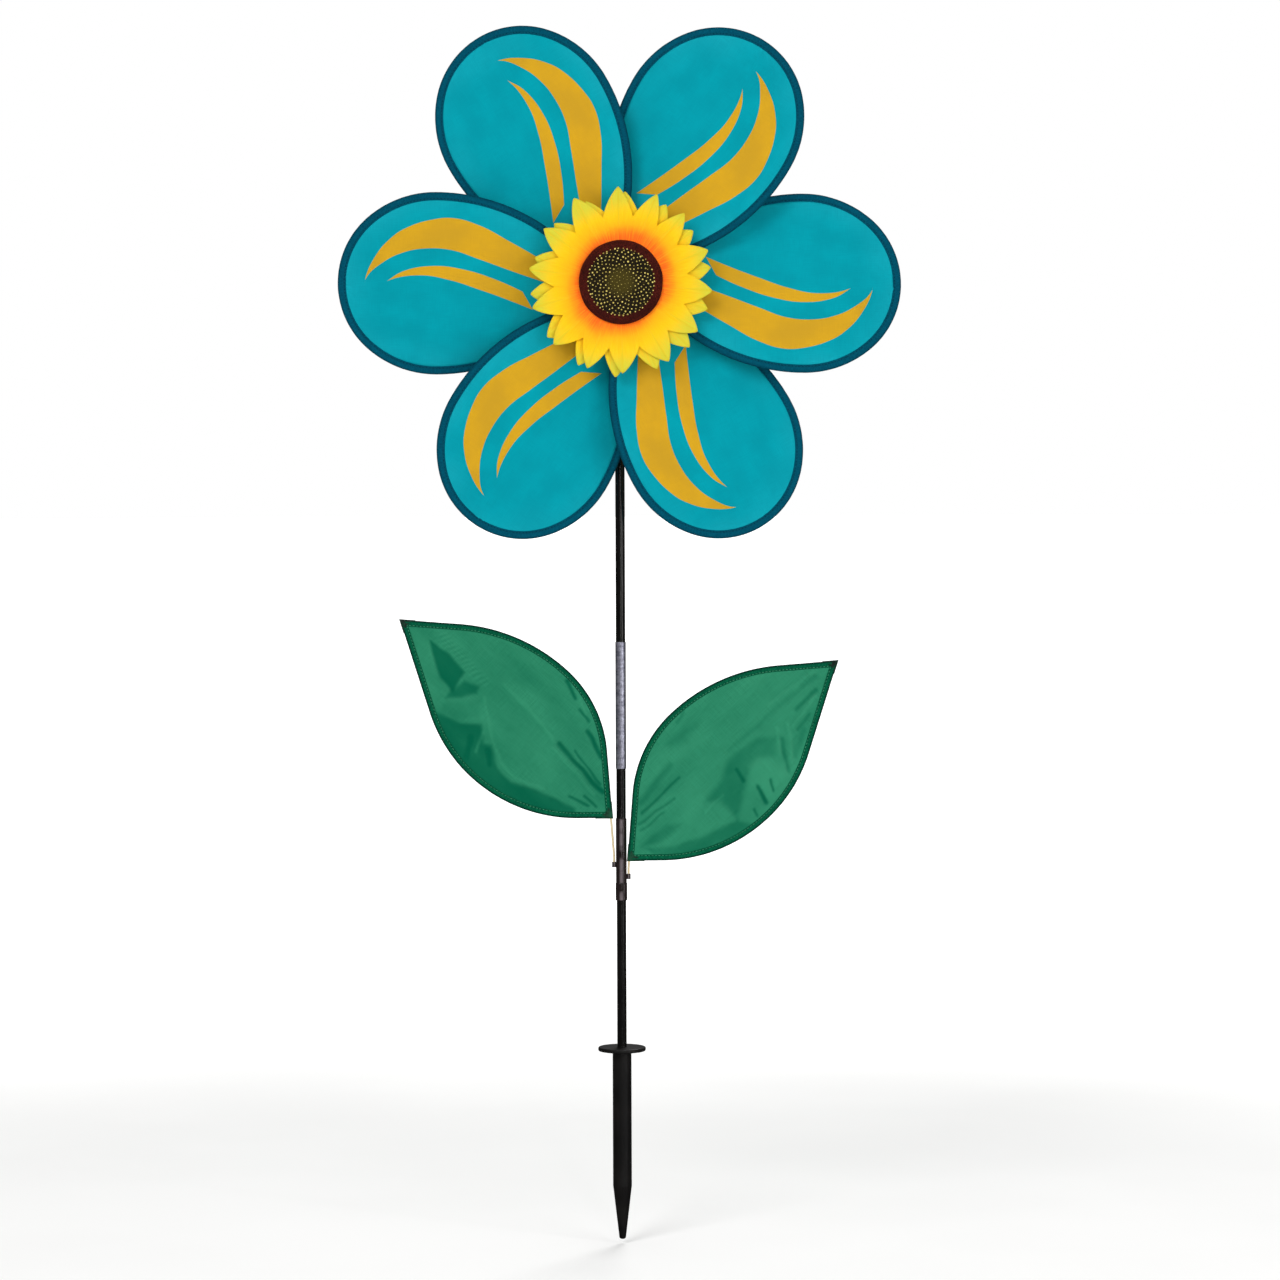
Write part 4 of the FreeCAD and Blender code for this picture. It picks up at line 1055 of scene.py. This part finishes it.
def leaf_patch(side, which):
    """A cloth sleeve folded over the hem at a leaf's base or tip, pinched between the rods."""
    at_base = which == "base_patch"
    slopes = [math.radians(LEAF_EDGES[edge][1 if at_base else 2]) for edge in LEAF_EDGES]
    rise, fall = math.tan(slopes[0]), math.tan(slopes[1])
    over, under = PATCH_REACH / math.cos(slopes[0]), PATCH_REACH / math.cos(slopes[1])
    corner = -(over + under) / (rise + fall)
    verts = []
    for station in range(PATCH_STATIONS + 1):
        share = (station / PATCH_STATIONS) ** 1.4
        for turn in circle(PATCH_SIDES):
            across, height = polar(1, turn)
            mouth = PATCH_LENGTHS[which] * (0.6 + 0.4 * abs(across) ** 1.3)
            along = corner + (mouth - corner) * max(share, 0.004)
            top, bottom = along * rise + over, -along * fall - under
            half, middle = (top - bottom) / 2, (top + bottom) / 2
            thick = min(PATCH_REACH, half * 0.9)
            u = along if at_base else LEAF_LENGTH - along
            pinch = 1 - PATCH_PINCH * (1 - across * across) * share
            face = math.copysign(2.0, height)
            crease = PATCH_CREASE * share * uneven(u * 0.22, across * 2.1, face)
            lift = math.copysign(abs(height) ** 0.55, height) * (thick * pinch + crease)
            frayed = PATCH_FRAY * uneven(across * 3, height * 3, 9) * (share > 0.95)
            verts.append((u + frayed, middle + half * across, lift))
    faces = tube_faces(PATCH_STATIONS + 1, PATCH_SIDES)
    piece = tidy_mesh(build_mesh(f"{side}_leaf_{which}_cloth", verts, faces, leaf_frame(side)))
    use(piece, f"{side}_leaf", f"leaf_{which}", LEAF_LOOKS[which], f"{side}_leaf_{which}")


def leaf(side):
    body, matrix = f"{side}_leaf", leaf_frame(side)
    leaf_panel(side)
    lines = [leaf_line(edge, HEM_START, HEM_END_GAP, TAPE_STEP) for edge in LEAF_EDGES]
    hem = taped_edge(f"{side}_leaf_hem_cloth", lines, HEM, matrix, len(side) * 5.3)
    use(hem, body, "leaf_hem", LEAF_LOOKS["hem"], f"{side}_leaf_hem")
    fine = [leaf_line(edge, HEM_START, HEM_END_GAP, SEWN_STEP) for edge in LEAF_EDGES]
    sewn = stitch_row(f"{side}_leaf_stitches", fine, *HEM_STITCH, matrix)
    use(sewn, body, "leaf_hem", LEAF_LOOKS["thread"])
    for which in PATCH_LENGTHS:
        leaf_patch(side, which)


# ---------------- sunflower

# Each layer's petal tips: the angle anticlockwise seen from the front, and the reach.
FRONT_TIPS = [
    (19.8, 79.5), (47, 80), (67.3, 81), (91.5, 81.3), (119.3, 82), (145.3, 80), (171.6, 79.5),
    (196.2, 79), (222.7, 78.6), (248.4, 79), (270.8, 78), (301, 79), (327.1, 78), (354.4, 78.5),
]
REAR_TIPS = [
    (9.3, 78), (35.3, 76), (59.4, 76.7), (87.2, 77.5), (113.2, 75), (138.5, 75.6), (164.2, 76.6),
    (187.3, 78), (216.5, 78.7), (242.6, 80), (266.5, 81.5), (292.5, 80.4), (316.6, 81), (342.7, 77.8),
]
VALLEY_REACH = 57.0
LAYER_INNER = 22.0
LAYER_RINGS, LAYER_COLUMNS = 24, 26
SILK_THICKNESS = 0.35
FLOWER_LOOKS = {"silk": sunflower_silk(), "face": seed_face(), "dots": seed_dots()}
# The seed head: a dome inside SEED_DOME and a padded ring out to SEED_RADIUS.
SEED_RADIUS = 35.8
SEED_DOME = 29.4
SEED_GROOVE = 29.8
SEED_BACK = 20.4
DOME_EDGE_HEIGHT, DOME_RISE = 26.6, 3.3
RING_EDGE_HEIGHT, RING_RISE = 23.0, 4.0
DOME_FUZZ, RING_FUZZ = 0.3, 0.55
SEED_COLUMNS = 220
# Seeds stand in a sunflower's spiral, with one even ring of them at the dome's edge.
GOLDEN_ANGLE = 137.508
SEED_COUNT, RIM_SEEDS = 236, 50
SEED_SPREAD = 1.78
SMALL_SEED, LARGE_SEED, SMALL_SEEDS_TO = 0.32, 0.64, 12
SEED_LEVELS, SEED_SIDES = 4, 8
# How far from the seed head's edge the silk petals are at their full lift, about.
CUP_LENGTH = 44


def layer(name, tips, height, cup, seed):
    """One die-cut layer of silk petals, cupped forward and creased down each petal's middle."""
    count = len(tips)
    columns = []
    for index, (angle, reach) in enumerate(tips):
        before = (tips[index - 1][0] - 360 * (index == 0) + angle) / 2
        after = (tips[(index + 1) % count][0] + 360 * (index == count - 1) + angle) / 2
        for column in range(LAYER_COLUMNS):
            share = column / LAYER_COLUMNS
            here = before + (after - before) * share
            span = (angle - before) if here < angle else (after - angle)
            away = (here - angle) / span
            edge = VALLEY_REACH + (reach - VALLEY_REACH) * (1 - abs(away) ** 1.15)
            columns.append((here, away, edge, index))
    verts, flower = [], []
    for ring in range(LAYER_RINGS):
        for here, away, edge, index in columns:
            radius = LAYER_INNER + (edge - LAYER_INNER) * ring / (LAYER_RINGS - 1)
            out = max(0.0, (radius - SEED_RADIUS) / CUP_LENGTH)
            ridge = 1 - abs(away)
            twist = 1.3 * uneven(index * 3.7, seed, 1.5)
            ripple = uneven(radius / 13, here / 6, seed)
            rise = cup * out ** 1.5 * (1 + 0.4 * uneven(index * 2.3, seed, 8.1))
            crease = 0.9 * out * math.exp(-((away / 0.16) ** 2))
            curl = 0.9 * out * out * abs(away) ** 2
            lift = height + rise + out * away * twist + crease + curl + 0.45 * out * ripple
            turn = math.radians(here)
            verts.append((*polar(radius, turn), lift))
            flower.append((radius, here % 360, math.exp(-((away / 0.12) ** 2)) * min(1, out * 3)))
    faces = grid_faces(LAYER_RINGS, len(columns), closed=True)
    piece = cloth_sheet(f"{name}_silk", verts, faces, HEAD, {"flower": flower}, SILK_THICKNESS)
    use(piece, "rotor", "sunflower_silk", FLOWER_LOOKS["silk"], f"{name}_layer")


def seed_height(radius):
    """The front of the seed head: a low dome, a groove, then a padded ring."""
    if radius < SEED_DOME:
        return DOME_EDGE_HEIGHT + DOME_RISE * (1 - (radius / SEED_DOME) ** 2.2)
    across = (radius - SEED_DOME) / (SEED_RADIUS - SEED_DOME)
    padding = 0.86 + 0.14 * math.sin(math.pi * min(1, across * 1.6))
    return RING_EDGE_HEIGHT + RING_RISE * (1 - across ** 2.6) * padding


def seed_head():
    radii = [0.6 * step for step in range(1, 49)] + [SEED_DOME, SEED_GROOVE]
    radii += [SEED_GROOVE + 0.33 * step for step in range(1, 19)]
    profile = [(radius, seed_height(radius)) for radius in radii]
    profile += [(SEED_RADIUS + 0.1, 22.6), (SEED_RADIUS - 0.1, 21.6), (SEED_RADIUS - 0.7, SEED_BACK),
                (20.0, SEED_BACK)]
    verts = []
    for radius, height in profile:
        fuzz = DOME_FUZZ if radius < SEED_DOME else RING_FUZZ
        fuzz *= height > SEED_BACK
        for turn in circle(SEED_COLUMNS):
            x, y = polar(radius, turn)
            rough = fuzz * uneven(x * 0.9, y * 0.9, height * 0.9)
            swell = 1 + 0.012 * uneven(x / 14, y / 14, 2.0) * (radius > SEED_DOME)
            verts.append((x * swell, y * swell, height + rough))
    faces = tube_faces(len(profile), SEED_COLUMNS)
    disc = tidy_mesh(build_mesh("sunflower_seed_head", verts, faces, HEAD))
    use(disc, "rotor", "seed_brown", FLOWER_LOOKS["face"], "seed_head")


def seeds():
    """Small domes set in the seed head."""
    verts, faces = [], []
    for index in range(1, SEED_COUNT + RIM_SEEDS + 1):
        turn = index * math.radians(GOLDEN_ANGLE)
        radius = SEED_SPREAD * math.sqrt(index)
        if index > SEED_COUNT:
            turn, radius = 2 * math.pi * index / RIM_SEEDS, SEED_DOME - 1.0
        stray = Vector([uneven(index * 2.1, 4.3 + 9.7 * way, 0.5) for way in range(3)])
        size = SMALL_SEED if radius < SMALL_SEEDS_TO else LARGE_SEED
        size *= 1 + 0.6 * stray.z
        radius = min(radius + 0.9 * stray.x, SEED_DOME - 0.8)
        turn += 0.9 * stray.y / max(radius, 4.0)
        x, y = polar(radius, turn)
        faces += tube_faces(SEED_LEVELS, SEED_SIDES, len(verts))
        for level in range(SEED_LEVELS):
            wide, up = polar(1, math.radians(28 * level))
            lift = seed_height(radius) - 0.15 + (size * 0.9 + 0.2) * up
            for around in circle(SEED_SIDES):
                side, rise = polar(size * wide, around)
                verts.append((x + side, y + rise, lift))
    dots = tidy_mesh(build_mesh("sunflower_seeds", verts, faces, HEAD), 0.001)
    use(dots, "rotor", "seed_brown", FLOWER_LOOKS["dots"])


# ---------------- the whole object

for node in frame["nodes"].values():
    kind = node.data.materials[0].name
    if kind in HARD_LOOKS:
        node.data.materials[0] = HARD_LOOKS[kind]

for number in range(1, PETALS + 1):
    petal(number)
for side in ("right", "left"):
    leaf(side)
layer("sunflower_rear", REAR_TIPS, 18.8, 0.9, 5.0)
layer("sunflower_front", FRONT_TIPS, 20.3, 2.8, 9.0)
seed_head()
seeds()

# ---------------- floor, light and camera

# The floor lies just under the stake's point.
FLOOR_GAP = 0.004
FLOOR_RADIUS = 60.0
FLOOR_SIDES = 96
WHITE = (1.0, 1.0, 1.0, 1.0)


def floor_look():
    """Pale near the object and white far off, dim in reflections and unseen from below."""
    look = Look("floor_look")
    place = look.place()
    cloud = look.noise(place, 0.002, 3.0)
    pale = look.blend(cloud, 0.3, 0.7, rgb(243, 243, 242), rgb(247, 247, 246))
    rays = look.add("ShaderNodeLightPath").outputs
    far = look.between(look.vector_math("LENGTH", place), 600, 3000)
    below = look.add("ShaderNodeNewGeometry").outputs["Backfacing"]
    return look.finish(
        Base_Color=look.mix(rays["Is Glossy Ray"], pale, rgb(70, 70, 70)),
        Roughness=0.85,
        Specular_IOR_Level=0.1,
        Emission_Color=WHITE,
        Emission_Strength=look.times(far, rays["Is Camera Ray"]),
        Alpha=look.minus(1.0, below),
    )


def backdrop():
    """A wide round floor that meets a white sky."""
    verts = [(*polar(FLOOR_RADIUS, turn), CAD_BOX[0].z - FLOOR_GAP) for turn in circle(FLOOR_SIDES)]
    floor = build_mesh("floor", verts, [tuple(range(FLOOR_SIDES))], Matrix.Scale(1 / MM, 4))
    floor.data.materials.append(floor_look())


def soft_light(name, place, wide, tall, power):
    lamp = bpy.data.lights.new(name, "AREA")
    lamp.shape = "ELLIPSE"
    lamp.size, lamp.size_y, lamp.energy = wide, tall, power
    light = add_object(name, lamp)
    light.location = place
    aim = Vector(LIGHTS_AIM) - Vector(place)
    light.rotation_euler = aim.to_track_quat("-Z", "Y").to_euler()


# The sky lights the object softly, is dim in reflections so that black parts stay black, and is
# white to the camera.
SKY_LIGHT, SKY_REFLECTED, SKY_SEEN = 0.55, 0.1, 1.0


def sky():
    look = Look("world", bpy.data.worlds, "Background")
    rays = look.add("ShaderNodeLightPath").outputs
    unseen = look.between(rays["Is Glossy Ray"], 0, 1, SKY_LIGHT, SKY_REFLECTED, False)
    strength = look.between(rays["Is Camera Ray"], 0, 1, unseen, SKY_SEEN, False)
    bpy.context.scene.world = look.finish(Color=WHITE, Strength=strength)


# Each light's place, width, height and power. All of them face the object's middle.
LIGHTS_AIM = (0.0, 0.0, 0.5)
LIGHTS = {
    "key_light": ((-1.5, -2.6, 2.2), 1.6, 1.6, 54),
    "fill_light": ((1.9, -2.4, 1.0), 1.8, 1.8, 24),
    "back_light": ((0.6, 1.8, 2.2), 1.2, 1.2, 26),
    "side_strip": ((1.7, -1.35, 0.4), 0.1, 1.9, 5),
    "front_strip": ((0.3, -3.2, 0.5), 0.14, 2.2, 9),
}


def studio():
    backdrop()
    sky()
    for name, settings in LIGHTS.items():
        soft_light(name, *settings)
    bpy.context.scene.view_settings.view_transform = "Standard"


# The camera's place, how many degrees it looks down and to the right and is rolled, and its lens
# and sensor in millimetres.
CAMERA_PLACE = (-0.11, -3.5, 0.502)
CAMERA_DOWN, CAMERA_RIGHT, CAMERA_ROLL = 2.355, 2.085, 0.2
CAMERA_LENS, CAMERA_SENSOR = 113.58, 36.0


def camera():
    """At about the middle of the object's height and a little to the flower's left."""
    data = bpy.data.cameras.new("camera")
    data.sensor_width, data.lens = CAMERA_SENSOR, CAMERA_LENS
    eye = add_object("camera", data)
    eye.location = CAMERA_PLACE
    aim = (90 - CAMERA_DOWN, CAMERA_ROLL, -CAMERA_RIGHT)
    eye.rotation_euler = [math.radians(angle) for angle in aim]
    bpy.context.scene.camera = eye


studio()
camera()
